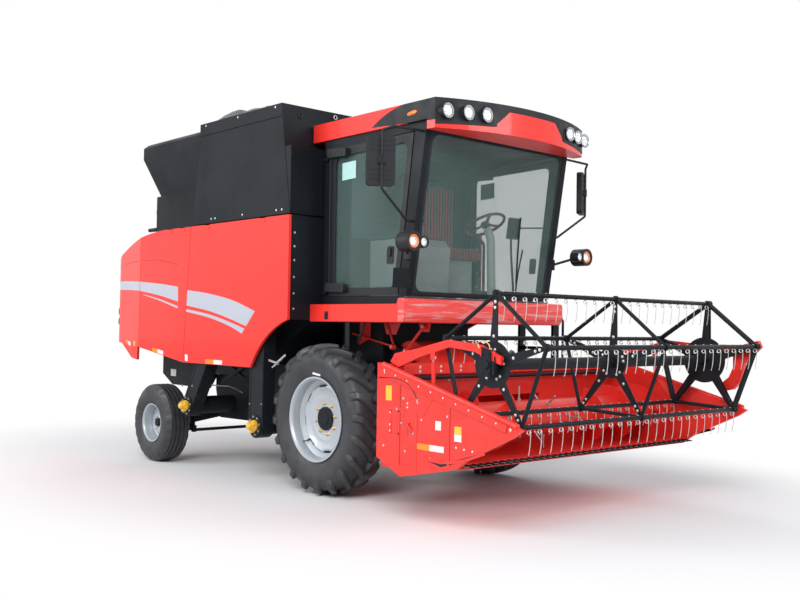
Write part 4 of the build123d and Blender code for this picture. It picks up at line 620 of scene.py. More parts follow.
def pipe(path, radius, sides=12):
    """A round section carried along a path of points, its frame turned as little as possible."""
    path = np.asarray(path, float)
    radius = np.broadcast_to(np.asarray(radius, float), len(path))
    way = np.gradient(path, axis=0)
    way /= np.linalg.norm(way, axis=1)[:, None]
    first = np.cross(way[0], (0.3, 0.5, 0.81))
    first /= np.linalg.norm(first)
    across = [first]
    for w in way[1:]:
        a = across[-1] - w * np.dot(across[-1], w)
        across.append(a / np.linalg.norm(a))
    across = np.array(across)
    third = np.cross(way, across)
    angle = np.linspace(0, 2 * np.pi, sides, endpoint=False)[None, :, None]
    rings = across[:, None] * np.cos(angle) + third[:, None] * np.sin(angle)
    points = path[:, None] + rings * radius[:, None, None]
    return sheet_of(points, around=True, caps=True)


def bolt_heads(places, way, size=0.009, tall=0.006):
    """Hexagon bolt heads on washers at each place, standing along way."""
    way = np.asarray(way, float) / np.linalg.norm(way)
    side = np.cross(way, (0.31, 0.52, 0.80))
    side /= np.linalg.norm(side)
    other = np.cross(way, side)
    six = (np.arange(6) * np.pi / 3)[:, None]
    parts = []
    for place in places:
        rows = []
        for scale, off in ((1.5, -0.1), (1.5, 0.25), (1.0, 0.25), (1.0, 0.9), (0.8, 1.05)):
            rows.append(np.asarray(place) + way * tall * off
                        + size * scale * (side * np.cos(six) + other * np.sin(six)))
        parts.append(sheet_of(np.stack(rows), around=True, caps=True))
    return parts


AMBER_FILM = coat("amber_film", (0.95, 0.27, 0.015),
                  (0.15, 60.0, 0.1, 1.2, 0.25, 0.35, 900.0, 0.15))
WHITE_FILM = coat("white_film", (0.80, 0.80, 0.79),
                  (0.12, 50.0, 0.12, 1.2, 0.25, 0.35, 900.0, 0.15))
SHEET_Y, RIB = 1.5, 0.0035
RAIL_A, RAIL_B = np.array((1.268, 1.222)), np.array((2.640, 0.857))


def on_sheet(x, z, s, out):
    """A point on the outside of an end sheet, standing out by out."""
    return at(x, s * (SHEET_Y + out), z)


for side, s in SIDES:
    red, steel = [], []
    way = (0, s, 0)
    y = s * SHEET_Y
    for x, z0, z1 in ((1.472, 0.47, 1.135), (2.004, 0.52, 1.01)):
        red.append(slab(x - 0.011, z0, x + 0.011, z1, y, y + s * RIB))
    red.append(prism([(1.858, 1.060), (1.895, 1.050), (1.735, 0.855), (1.708, 0.866)], y, y + s * RIB))
    frame_path = [(1.375, 0.868, 1.662, 0.882), (1.375, 0.698, 1.560, 0.712),
                  (1.376, 0.700, 1.390, 0.880), (1.655, 0.450, 1.675, 0.880)]
    for x0, z0, x1, z1 in frame_path:
        red.append(slab(x0, z0, x1, z1, y, y + s * RIB))
    red.append(turned([(0.030, 0.0), (0.030, 0.0030), (0.022, 0.0036), (0.001, 0.0036)],
                      on_sheet(1.545, 0.715, s, 0) if s > 0 else on_sheet(1.545, 0.715, s, 0.0036), 24))
    lower = smooth_path([(1.760, 0.552), (1.90, 0.532), (2.12, 0.560), (2.36, 0.640)], 14)
    upper = lower[::-1] + np.array((0.0, 0.020))
    red.append(prism(np.concatenate([lower, upper]), y, y + s * 0.0036))
    put("end_sheet_ribs_" + side, red, RED, "header", bevel=0.0008)
    for t in np.linspace(0.03, 0.97, 11):
        p = RAIL_A + (RAIL_B - RAIL_A) * t + np.array((-0.012, -0.035))
        steel.append(on_sheet(p[0], p[1], s, -0.002))
    for x, z in ((2.241, 0.651), (2.160, 0.656), (2.082, 0.662), (1.371, 0.767), (1.545, 0.582),
                 (1.565, 0.91), (1.565, 0.94), (2.004, 0.93), (2.004, 0.84), (2.004, 0.72),
                 (2.004, 0.60), (1.816, 0.556), (1.72, 0.83), (1.99, 0.875), (1.30, 1.16),
                 (1.30, 0.60), (1.372, 0.86), (1.372, 0.72)):
        steel.append(on_sheet(x, z, s, -0.002))
    put("end_sheet_bolts_" + side, bolt_heads(steel, way, 0.0085, 0.0052), ZINC, "header")
    # A black sliver of painted shade just under the stiffening strip, standing for the shaded gap at
    # the skid flap.
    dark = [prism([(1.795, 0.535), (1.93, 0.508), (2.34, 0.628), (2.30, 0.640), (1.93, 0.528)], y,
                  y + s * 0.001)]
    put("skid_gap_" + side, dark, PLASTIC, "header")
    plates = [("white_plate", WHITE_FILM, (1.867, 0.770, 1.925, 0.835)),
              ("white_plate_low", WHITE_FILM, (2.062, 0.706, 2.131, 0.757)),
              ("yellow_plate", YELLOW, (2.062, 0.759, 2.131, 0.812)),
              ("yellow_plate_rear", YELLOW, (1.318, 0.950, 1.386, 1.062)),
              ("amber_reflector", AMBER_FILM, (1.659, 0.612, 1.806, 0.656)),
              ("white_reflector", WHITE_FILM, (1.808, 0.612, 1.957, 0.656))]
    for name, paint, (x0, z0, x1, z1) in plates:
        shape = [slab(x0, z0, x1, z1, y, y + s * 0.0012)]
        put(name + "_" + side, shape, paint, "header")

# ---- Header hose ----
# Black rubber hydraulic hose laid along the right end sheet, with a plated fitting crimped to its
# low end.
hose = bent([(1.235, -1.4985, 1.118), (1.36, -1.499, 1.123), (1.476, -1.499, 1.115),
             (1.570, -1.499, 1.085), (1.640, -1.499, 1.020), (1.668, -1.499, 0.975)], 26)
put("header_hose", [pipe(hose, 0.0055, 10)], PLASTIC, "header", smooth=60)
fitting = [pipe([at(1.667, -1.499, 0.980), at(1.671, -1.499, 0.962), at(1.676, -1.499, 0.944)],
                [0.0055, 0.0055, 0.004], 8)]
put("header_hose_end", fitting, ZINC, "header")


# ---- Header trough and beam ----
# Inside the table: bolts along the top beam and through the back wall, and a black hydraulic
# line of steel tube under the beam.
bolts = []
for y in np.arange(-1.38, 1.39, 0.23):
    bolts.append(at(1.3255, y, 1.195))
    bolts.append(at(1.3255, y, 1.160))
put("beam_bolts", bolt_heads(bolts, (1, 0, 0), 0.009, 0.006), ZINC, "header")
line = bent([(1.345, -1.40, 1.110), (1.340, -0.7, 1.112), (1.342, 0.0, 1.108), (1.340, 0.7, 1.112),
             (1.345, 1.40, 1.110)], 30)
put("beam_line", [pipe(line, 0.016, 12)], BLACK, "header", smooth=60)
BACK_WALL_X = 1.2505
bolts = [at(BACK_WALL_X + 0.001, y, z) for y in np.arange(-1.35, 1.36, 0.3) for z in (1.08, 0.60)
         if abs(y) > 0.5]
put("back_wall_bolts", bolt_heads(bolts, (1, 0, 0), 0.008, 0.005), ZINC, "header")


# ---- Cutterbar ----
# Forged guards, black, on a black rail under the red table lip, with a ground knife between
# them and a red hold-down strip over it.
strip = [slab(2.040, 0.541, 2.088, 0.530, -1.455, 1.455)]
put("knife_hold_down", strip, RED, "header", bevel=0.001)
GUARDS, GUARD_STEP = 38, 0.0762
guards, fingers = [], []
for k in range(GUARDS):
    y = (k - (GUARDS - 1) / 2) * GUARD_STEP
    u = np.linspace(0, 1, 9)
    x = 2.076 + u * 0.113
    wide = 0.0145 * (1 - u**1.7) + 0.0022
    top = 0.538 - 0.008 * u**2
    base = 0.514 + 0.010 * u**1.5
    ring = [(-1, 0.15), (-0.7, 0.0), (0.7, 0.0), (1, 0.15), (1, 0.8), (0.6, 1.0), (-0.6, 1.0),
            (-1, 0.8)]
    rows = np.stack([np.stack([x + AXLE_X, y + a * wide, base + (top - base) * b],
                              axis=-1) for a, b in ring], axis=1)
    guards.append(sheet_of(rows, around=True, caps=True))
    blade = [(2.085, y - 0.036), (2.100, y - 0.034), (2.152, y - 0.005), (2.152, y + 0.005),
             (2.100, y + 0.034), (2.085, y + 0.036)]
    flat = np.array([(px + AXLE_X, py) for px, py in blade])
    rows = np.stack([np.column_stack([flat, np.full(6, z)]) for z in (0.5245, 0.5272)])
    fingers.append(sheet_of(rows, around=True, caps=True))
put("guards", guards, BLACK, "header", smooth=40, stands_for=["cutterbar"])
put("knife", fingers, STEEL, "header")
rail = [slab(2.040, 0.5133, 2.085, 0.528, -1.4595, 1.4595)]
put("guard_rail", rail, BLACK, "header", bevel=0.001)
lip = [prism([(1.995, 0.498), (2.083, 0.497), (2.083, 0.505), (1.995, 0.505)], -1.455, 1.455)]
put("table_lip", lip, RED, "header", bevel=0.001)


# ---- Reel tine bars ----
# Round tubes, painted black, each with 24 spring tines of zinc-plated wire: two turns of coil
# under the tube, then a long finger that bends back a little at its end.
u = np.linspace(0, 1, 26)
turn = 2.0 * 2 * np.pi * u
coil = np.stack([0.0095 + 0.0145 * np.cos(turn), -0.0055 + 0.011 * u, -0.0335 - 0.0145 * np.sin(turn)],
                axis=-1)
drop = np.linspace(0, 1, 8)[1:]
finger = np.stack([0.0240 - 0.003 * drop - 0.014 * drop**3, 0.0055 + 0 * drop, -0.0335 - 0.156 * drop],
                  axis=-1)
tine_path = np.concatenate([coil, finger])
TINE = pipe(tine_path, 0.0029, 6)
REEL_X, REEL_Z, TIP_RADIUS = 2.330, 1.260, 0.498
ARM_TURNS = [math.radians(87.2 - 72 * n) for n in range(5)]
TINES, TINE_STEP, reach = 24, 0.1167, 1.420
for n, angle in enumerate(ARM_TURNS):
    mid = at(REEL_X + TIP_RADIUS * math.cos(angle), 0, REEL_Z + TIP_RADIUS * math.sin(angle))
    ends = [(0.0, -reach), (0.0155, -reach), (0.017, -reach + 0.003), (0.017, reach - 0.003),
            (0.0155, reach), (0.0, reach)]
    ends = [(max(r, POLE), o) for r, o in ends]
    body = "tines_%d" % (n + 1)
    put("tine_tube_%d" % (n + 1), [turned(ends, mid, 20)], BLACK, body,
        stands_for=["tine_bar_%d" % (n + 1)])
    tines, bolts = [], []
    for k in range(TINES):
        y = (k - (TINES - 1) / 2) * TINE_STEP
        tines.append((TINE[0] + mid + np.array((0, y, 0)), TINE[1]))
        bolts.append(mid + np.array((0.0, y + (0.012 if k < TINES - 1 else -0.012), 0.0165)))
    put(body + "_wires", tines, ZINC, body, smooth=60)
    put("tine_bolts_%d" % (n + 1), bolt_heads(bolts, (0, 0, 1), 0.0055, 0.004), ZINC, body)


# ---- Reel frame ----
# Black welded reel, softened from its solid: a thick centre tube and three five-armed spiders of
# plate, with a row of plated bolts on both faces of every arm.
softened("reel_rotor", 0.0015, "reel", smooth=32)
bolts = {-1: [], 1: []}
for y in (-1.4, 0.0, 1.4):
    for angle in ARM_TURNS:
        way = np.array((math.cos(angle), 0, math.sin(angle)))
        across = np.array((-math.sin(angle), 0, math.cos(angle)))
        for r, off in ((0.105, 0.018), (0.105, -0.018), (0.20, 0.0), (0.40, 0.0), (0.44, 0.0)):
            p = at(REEL_X, y, REEL_Z) + way * r + across * off
            for face in (-1, 1):
                bolts[face].append(p + np.array((0, face * 0.0062, 0)))
for face, places in bolts.items():
    put("spider_bolts_%s" % ("a" if face < 0 else "b"), bolt_heads(places, (0, face, 0), 0.008, 0.005),
        ZINC, "reel")


# ---- Body stripes and reflectors ----
# Adhesive films on the red side panels and the hood: a silver sweep with a thin line under it, a
# dark strip of painted shade above for a pressed crease, amber and white reflectors along the lower
# edge.
def body_side(x):
    """Half width of the body at x: straight, drawn in 1 in 7 behind the hood seam, then round."""
    x = np.asarray(x, float)
    straight = 1.280 - np.clip(-3.170 - x, 0, 0.6306) / 7
    corner = 0.794 + np.sqrt(np.clip(0.16 - (x + 3.744) ** 2, 0, 1))
    return np.where(x < -3.8006, corner, straight)


def film(name, top, low, s, paint, body, bow=0.0, proud=0.0012):
    """A film between two curves of (x, z) on the body's side; its front end is hollowed by bow."""
    top, low = smooth_path(top, 22)[:, None], smooth_path(low, 22)[:, None]
    v = np.linspace(0, 1, 6)[None, :, None]
    grid = low * (1 - v) + top * v
    u = np.linspace(0, 1, 22)[:, None]
    grid[..., 0] -= bow * np.sin(np.pi * v[..., 0]) * u**9
    x, z = grid[..., 0], grid[..., 1]
    outer = np.stack([x + AXLE_X, s * (body_side(x) + proud), z], axis=-1)
    inner = np.stack([x + AXLE_X, s * (body_side(x) + 0.0001), z], axis=-1)[:, [-1, 0]]
    return put(name, [sheet_of(np.concatenate([outer, inner], axis=1), around=True, caps=True)], paint,
               body)


SILVER_FILM = coat("silver_film", (0.50, 0.52, 0.60),
                   (0.04, 1.2, 0.03, 1.2, 0.26, 0.34, 40.0, 0.004), metallic=0.25, clear=0.3)
# Dark red of painted shade: thin strips of it stand for the shade in pressed creases and beside raised
# ribs and strips.
CREASE = coat("pressed_crease", (0.33, 0.015, 0.012),
              (0.1, 3.0, 0.1, 1.2, 0.4, 0.5, 150.0, 0.05))
for side, s in SIDES:
    front, rear = "front_side_panel_" + side, "rear_side_panel_" + side
    film("sweep_front_" + side, [(-2.109, 1.857), (-1.667, 1.813), (-1.230, 1.742), (-0.839, 1.637)],
         [(-2.121, 1.697), (-1.659, 1.637), (-1.283, 1.563), (-0.985, 1.493)], s, SILVER_FILM, front,
         bow=0.022)
    film("sweep_rear_" + side, [(-3.164, 1.969), (-2.709, 1.936), (-2.309, 1.897)],
         [(-3.164, 1.867), (-2.703, 1.809), (-2.302, 1.739)], s, SILVER_FILM, rear)
    film("sweep_hood_" + side, [(-3.960, 1.990), (-3.60, 1.987), (-3.178, 1.970)],
         [(-3.960, 1.893), (-3.60, 1.887), (-3.178, 1.868)], s, SILVER_FILM, "chassis")
    film("line_front_" + side, [(-2.126, 1.659), (-1.658, 1.603), (-1.282, 1.531), (-1.013, 1.469)],
         [(-2.128, 1.633), (-1.657, 1.570), (-1.280, 1.490), (-1.055, 1.420)], s, SILVER_FILM, front)
    film("line_rear_" + side, [(-3.090, 1.826), (-2.701, 1.768), (-2.305, 1.690)],
         [(-3.090, 1.822), (-2.701, 1.752), (-2.305, 1.666)], s, SILVER_FILM, rear)
    # Thin dark red strips of painted shade, standing for the pressed creases on the rear panel and the
    # hood.
    film("crease_rear_" + side, [(-3.145, 2.209), (-2.721, 2.198), (-2.319, 2.133)],
         [(-3.145, 2.203), (-2.721, 2.191), (-2.319, 2.125)], s, CREASE, rear, proud=0.0006)
    film("crease_hood_" + side, [(-3.90, 2.150), (-3.55, 2.196), (-3.190, 2.209)],
         [(-3.90, 2.145), (-3.55, 2.190), (-3.190, 2.203)], s, CREASE, "chassis", proud=0.0006)
    for name, body, a, b in (("front", front, (-1.720, 1.106), (-1.403, 1.106)),
                             ("rear", rear, (-2.846, 1.197), (-2.600, 1.164)),
                             ("hood", "chassis", (-3.600, 1.270), (-3.440, 1.238))):
        a, b = np.array(a), np.array(b)
        mid, up = (a + b) / 2, np.array((0, 0.042))
        film("amber_%s_%s" % (name, side), [a + up, mid + up], [a, mid], s, AMBER_FILM, body)
        film("pale_%s_%s" % (name, side), [mid + up, b + up], [mid, b], s, WHITE_FILM, body)
    film("hood_mark_" + side, [(-3.335, 1.300), (-3.285, 1.294)], [(-3.335, 1.246), (-3.285, 1.240)],
         s, YELLOW, "chassis")
    film("blank_label_" + side, [(-2.130, 1.186), (-2.075, 1.180)], [(-2.130, 1.122), (-2.075, 1.116)],
         s, WHITE_FILM, front)

# ---- Tank ----
# Folded sheet tank, black: a box panel before its front wall, screws along its foot, a rubber
# grommet and a lifting ring in the front lip.
box = [prism([(-0.4060, 3.158), (-0.3080, 3.158), (-0.3080, 2.534), (-0.3095, 2.534)], -1.272, 1.000)]
put("tank_front_box", box, BLACK, bevel=0.004)
frame_strips = []
for y0, y1, z0, z1 in ((-1.256, -1.250, 2.56, 3.14), (-1.256, 0.98, 3.132, 3.140),
                       (-0.93, -0.924, 2.56, 3.14), (-1.256, 0.98, 2.56, 2.568)):
    frame_strips.append(slab(-0.3085, z0, -0.3055, z1, y0, y1))
put("tank_front_ribs", frame_strips, BLACK, bevel=0.0012)
for s, wall in ((-1, 1.275), (1, 1.010)):
    spots = [at(x, s * (wall - 0.001), 2.574) for x in (-1.672, -1.600, -0.523, -0.435, -1.10)]
    spots += [at(x, s * (wall + 0.0072), 3.540) for x in (-1.80, -1.20, -0.56)]
    put("tank_screws_%s" % ("left" if s > 0 else "right"), bolt_heads(spots, (0, s, 0), 0.0075, 0.005),
        ZINC)
spots = [at(-0.311, y, z) for y in (-1.213, 1.213) for z in (2.358, 2.232, 2.106, 1.95, 1.80, 1.66)]
put("front_wall_screws", bolt_heads(spots, (1, 0, 0), 0.0075, 0.005), ZINC)
grommet = [(0.010, 0.0), (0.027, 0.0), (0.030, 0.004), (0.028, 0.011), (0.020, 0.013), (0.014, 0.008),
           (0.010, 0.002)]
put("lip_grommet", [turned(grommet, at(-0.4525, -1.072, 3.478), 28, way="x", closed=True)], PLASTIC,
    smooth=50)
turn = np.linspace(0, 2 * np.pi, 24, endpoint=False)[:, None]
RING_MID, RING_R, WIRE_R = at(-0.440, -0.664, 3.520), 0.019, 0.0045
ring = RING_MID + RING_R * np.concatenate([0 * turn, np.cos(turn), np.sin(turn)], axis=1)
around = np.linspace(0, 2 * np.pi, 10, endpoint=False)[None, :, None]
out = (ring - RING_MID)[:, None] / RING_R
torus = ring[:, None] + WIRE_R * (out * np.cos(around) + np.array((1.0, 0, 0)) * np.sin(around))
put("lifting_ring", [sheet_of(torus, around=True, along=True)], ZINC, smooth=70)

# ---- Tarpaulin ----
# Coated black cloth laid over the tank's lip and a bent hoop, loosely folded where it is tied
# back at the right.
REAR, FRONT, RIGHT, LEFT = -1.893, -0.468, -1.268, 1.003
rows, cols = 70, 110
x = np.linspace(REAR, FRONT, rows)[:, None] + np.zeros((1, cols))
y = np.zeros((rows, 1)) + np.linspace(RIGHT, LEFT, cols)[None, :]
edge = np.clip(np.minimum.reduce([x - REAR, FRONT - x, y - RIGHT, LEFT - y]) / 0.10, 0, 1)
edge = edge * edge * (3 - 2 * edge)
near = np.interp(x, [REAR, -1.62, -1.34, -1.115, -0.90, -0.77, -0.62, FRONT],
                 [0.010, 0.052, 0.085, 0.066, 0.034, 0.018, 0.026, 0.004])
far = np.interp(x, [REAR, -1.5, -1.18, -0.85, FRONT], [0.010, 0.052, 0.066, 0.052, 0.004])
blend = np.clip((y + 1.25) / 0.9, 0, 1)
fold = 0.013 * np.sin(9.5 * (x + 0.75 * y) + 2.0 * np.sin(2.3 * y)) + 0.006 * np.sin(23 * (x - 0.5 * y))
fold = fold + 0.010 * np.exp(-(((x + 1.55) * 0.8 + (y + 1.05) * 0.5) / 0.05) ** 2)
z = 3.5685 + edge * (near * (1 - blend) + far * blend + fold * (1.15 - 0.8 * blend))
z = np.minimum(z, 3.655)
cloth = np.stack([x + AXLE_X, y, z], axis=-1)
points, faces = sheet_of(cloth)
mesh = bpy.data.meshes.new("tarpaulin")
mesh.from_pydata(points.tolist(), [], faces)
mesh.shade_smooth()
mesh.materials.append(TARP)
tarpaulin = bpy.data.objects.new("tarpaulin", mesh)
scene.collection.objects.link(tarpaulin)
wall = tarpaulin.modifiers.new("thickness", "SOLIDIFY")
wall.thickness = 0.0025
wall.offset = 0.0
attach(tarpaulin, "chassis")
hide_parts("tank_cover")

# ---- Engine hood post ----
# Small blank plates on the post beside the engine hood, and a tapered rubber end on its foot.
post = [("post_plate_yellow", YELLOW, (-3.415, 2.855, -3.382, 2.915)),
        ("post_plate_low", YELLOW, (-3.412, 2.765, -3.372, 2.800)),
        ("post_plate_white", WHITE_FILM, (-3.455, 2.775, -3.418, 2.830))]
for name, paint, (x0, z0, x1, z1) in post:
    put(name, [slab(x0, z0, x1, z1, -0.9640, -0.9602)], paint)
nose = [(0.0235, 0.0), (0.0235, 0.10), (0.018, 0.17), (0.006, 0.195), (POLE, 0.196)]
nose = [(r, -o) for r, o in nose]
put("hood_pipe_end", [turned(nose, at(-3.412, -0.950, 2.600), 20, way="x")], PLASTIC)


# ---- Cab shell ----
# Welded cab frame, black, its door openings taken forward to the front posts, with bonded panes
# that carry a black border with round corners.
def door_front(points):
    """Points on the sloping front edges of the door openings move forward, most at the foot."""
    points = points.copy()
    x, y, z = points[:, 0] - AXLE_X, points[:, 1], points[:, 2]
    for x0, z0, x1, z1 in ((0.733, 1.777, 0.963, 3.158), (0.725, 1.785, 0.955, 3.150),
                           (0.700, 1.820, 0.916, 3.113), (0.6997, 1.8203, 0.9156, 3.1126)):
        line = x0 + (z - z0) * (x1 - x0) / (z1 - z0)
        hit = (np.abs(x - line) < 0.0025) & (np.abs(y) > 0.72) & (z > 1.75)
        points[hit, 0] = (line + AXLE_X + 0.072 - 0.050 * (z - 1.78) / 1.37)[hit]
        x = np.where(hit, 9.0, x)
    return points


softened("cab_frame", 0.006, "chassis", shift=door_front)
for side in ("right", "left"):
    softened("cab_door_" + side, 0.005, "door_" + side, shift=door_front)
    softened("door_glass_" + side, 0.0008, "door_" + side, shift=door_front)


def rounded(corners, radius, fine=7):
    """A polygon's outline with its corners rounded: fine points on each corner's arc."""
    corners = np.asarray(corners, float)
    before, after = np.roll(corners, 1, axis=0), np.roll(corners, -1, axis=0)
    loops = []
    for c, p, q in zip(corners, before, after):
        a, b = (p - c) / np.linalg.norm(p - c), (q - c) / np.linalg.norm(q - c)
        half = math.acos(float(np.clip(np.dot(a, b), -1, 1))) / 2
        t = radius / math.tan(half)
        middle = c + (a + b) / np.linalg.norm(a + b) * radius / math.sin(half)
        start, end = c + a * t - middle, c + b * t - middle
        sweep = np.linspace(0, 1, fine)[:, None]
        turn = math.acos(float(np.clip(np.dot(start, end) / radius**2, -1, 1)))
        loops.append(middle
                     + (np.sin((1 - sweep) * turn) * start
                        + np.sin(sweep * turn) * end) / math.sin(turn))
    return np.concatenate(loops)


def border(outer, inner, place):
    """A flat ring between two outlines; place turns (a, b, depth) columns into points."""
    rows = [place(outer, 0.0), place(outer, 1.0), place(inner, 1.0), place(inner, 0.0)]
    return sheet_of(np.stack(rows), around=True, along=True)


outer = rounded([(-0.150, 1.780), (0.800, 1.780), (0.975, 3.148), (-0.150, 3.132)], 0.010)
inner = rounded([(-0.066, 1.850), (0.752, 1.850), (0.908, 3.078), (-0.066, 3.054)], 0.060)
for side, s in SIDES:
    def on_door(outline, t):
        """Outline points of (x, z) over the door's outer face, t from its foot to its front."""
        return np.stack([outline[:, 0] + AXLE_X, s * (0.9300 + 0.005 * t) + 0 * outline[:, 0],
                         outline[:, 1]], axis=-1)
    put("pane_border_" + side, [border(outer, inner, on_door)], PLASTIC, "door_" + side)

lean = math.atan2(0.235, 1.519)


def on_screen(u, v, w):
    """A point across (u) and up (v) the windscreen plane, w behind it."""
    u, v, w = np.broadcast_arrays(u, v, w)
    return np.stack([0.895 + v * math.sin(lean) - w * math.cos(lean) + AXLE_X, u,
                     1.706 + v * math.cos(lean) + w * math.sin(lean)], axis=-1).astype(float)


outer = rounded([(-0.8648, 0.0852), (0.8648, 0.0852), (0.8648, 1.4698), (-0.8648, 1.4698)], 0.006)
inner = rounded([(-0.836, 0.110), (0.836, 0.110), (0.836, 1.440), (-0.836, 1.440)], 0.080)
put("screen_border", [border(outer, inner,
                             lambda o, t: on_screen(o[:, 0], o[:, 1], 0.0078 - 0.004 * t))], PLASTIC)

# ---- Door fittings ----
# Ribbed hinge covers of black plastic with a thin rod between them, a latch plate with a pull,
# and a pale blank sticker inside the pane.
PAPER = coat("pale_sticker", (0.40, 0.66, 0.62),
             (0.1, 20.0, 0.0, 1.2, 0.3, 0.4, 150.0, 0.02))
for side, s in SIDES:
    body = "door_" + side
    covers = []
    for z in (3.087, 1.857):
        outline = rounded([(-0.146, z - 0.036), (0.120, z - 0.044), (0.120, z + 0.032),
                           (-0.146, z + 0.048)], 0.014, 4)
        covers.append(prism(outline, s * 0.9355, s * 0.984))
        for k in range(5):
            x0 = -0.10 + 0.040 * k
            covers.append(slab(x0, z - 0.026, x0 + 0.007, z + 0.024, s * 0.983, s * 0.9875))
    put("hinge_covers_" + side, covers, PLASTIC, body, bevel=0.004)
    line = bent([(-0.118, s * 0.957, 1.885), (-0.122, s * 0.957, 2.4), (-0.128, s * 0.957, 3.06)], 12)
    put("hinge_rod_" + side, [pipe(line, 0.0055, 10)], PLASTIC, body, smooth=60)
    put("pane_sticker_" + side,
        [prism([(0.004, 2.835), (0.196, 2.842), (0.196, 3.000), (0.004, 2.994)], s * 0.9183,
               s * 0.9195)], PAPER, body)
    latch = [prism(rounded([(0.655, 2.05), (0.735, 2.05), (0.748, 2.20), (0.668, 2.20)], 0.014, 4),
                   s * 0.930, s * 0.940),
             prism(rounded([(0.672, 2.115), (0.722, 2.115), (0.724, 2.185), (0.678, 2.185)], 0.010, 4),
                   s * 0.939, s * 0.955)]
    put("door_latch_" + side, latch, PLASTIC, body, bevel=0.003)

# ---- Wiper and screen fittings ----
# One long wiper on the left of the screen, its arm and blade of black steel and rubber.
arm = np.concatenate([on_screen(0.417, 0.060, -0.022)[None], on_screen(0.405, 0.30, -0.030)[None],
                      on_screen(0.440, 0.545, -0.020)[None]])
blade = np.stack([on_screen(0.430 - 0.085 * t + 0.03 * t * t, 0.22 + 0.62 * t,
                            0.006 - 0.010) for t in np.linspace(0, 1, 9)])
put("wiper", [pipe(smooth_path(arm, 12), 0.007, 8), pipe(blade, 0.008, 6),
              turned([(0.022, -0.030), (0.022, 0.010), (0.014, 0.016), (POLE, 0.016)],
                     on_screen(0.417, 0.060, -0.012), 20, way="x")], PLASTIC, smooth=50)

# ---- Number plate holder ----
# Blank black plate on a bent strap at the right front post, under the twin lamps.
plate = [prism([(0.972, 1.835), (0.979, 1.835), (0.990, 1.998), (0.983, 1.998)], -1.150, -0.952),
         slab(0.88, 1.900, 0.976, 1.930, -0.962, -0.934)]
put("plate_holder", plate, BLACK, bevel=0.002)

# ---- Cab lining and controls ----
# Black floor mat, a display on a post and an arm by the screen, three levers, a black top on the
# grey console, and a dark red wheel rim.
WHEEL_RED = coat("wheel_grip", (0.13, 0.018, 0.018),
                 (0.2, 12.0, 0.0, 1.2, 0.4, 0.55, 60.0, 0.05))
softened("steering_wheel", 0.002, "steering_wheel_body", paint=WHEEL_RED, smooth=45)
low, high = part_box("cab_interior")
mat = [slab(-0.17, low.z - 0.0001, 0.82, low.z + 0.006, 0.100, 0.860)]
put("floor_mat", mat, RUBBER, bevel=0.002)
display = [prism(rounded([(0.760, 2.36), (0.800, 2.36), (0.830, 2.56), (0.790, 2.56)], 0.010, 4),
                 0.470, 0.600), pipe(bent([(0.770, 0.535, 2.36), (0.770, 0.540, 2.20),
                                           (0.800, 0.55, 1.79)], 12), 0.011, 10),
           pipe(bent([(0.800, 0.600, 2.47), (0.90, 0.74, 2.475), (0.965, 0.872, 2.48)], 10), 0.008, 8)]
put("display", display, PLASTIC, bevel=0.003)
levers = []
for x0, y0, lean_x in ((0.20, -0.16, 0.05), (0.28, -0.22, 0.06), (0.12, -0.10, 0.04)):
    foot = at(x0, y0, 2.325)
    tip = at(x0 + lean_x, y0, 2.50)
    levers.append(pipe([foot, tip], 0.007, 8))
    knob = [(POLE, -0.024), (0.013, -0.020), (0.020, -0.004), (0.019, 0.012), (0.010, 0.022),
            (POLE, 0.024)]
    levers.append(turned(knob, tip, 16, way="z"))
put("levers", levers, PLASTIC, smooth=60)
panel = [slab(-0.150, 2.3305, 0.372, 2.340, -0.395, 0.015)]
put("console_top", panel, PLASTIC, bevel=0.006)

# ---- Seat ----
# Sprung driver's seat: foam pads under dark cloth with red stripes down the back, stuffed by a
# short cloth simulation.
def stripes_cloth():
    """Woven seat cloth: dark ground, red bands across, and a fine weave bump."""
    material, grow = new_material("seat_cloth")
    spot = grow("TexCoord").outputs["Object"]
    wave = grow("Math", {0: grow("SeparateXYZ", {0: spot}).outputs["Y"], 1: 0.020},
                operation="PINGPONG")
    band = grow("MapRange", {"Value": wave, "From Min": 0.0095, "From Max": 0.0115})
    tint = grow("Mix", {"Factor": band, "A": (0.035, 0.030, 0.033, 1), "B": (0.52, 0.035, 0.030, 1)},
                data_type="RGBA")
    weave = grow("TexNoise", {"Vector": spot, "Scale": 160.0})
    bump = grow("Bump", {"Height": weave, "Strength": 0.12, "Distance": 0.001})
    return painted(material, grow,
                   {"Base Color": tint.outputs["Result"], "Normal": bump, "Roughness": 0.85,
                    "Sheen Weight": 0.3})


SEAT_CLOTH = stripes_cloth()


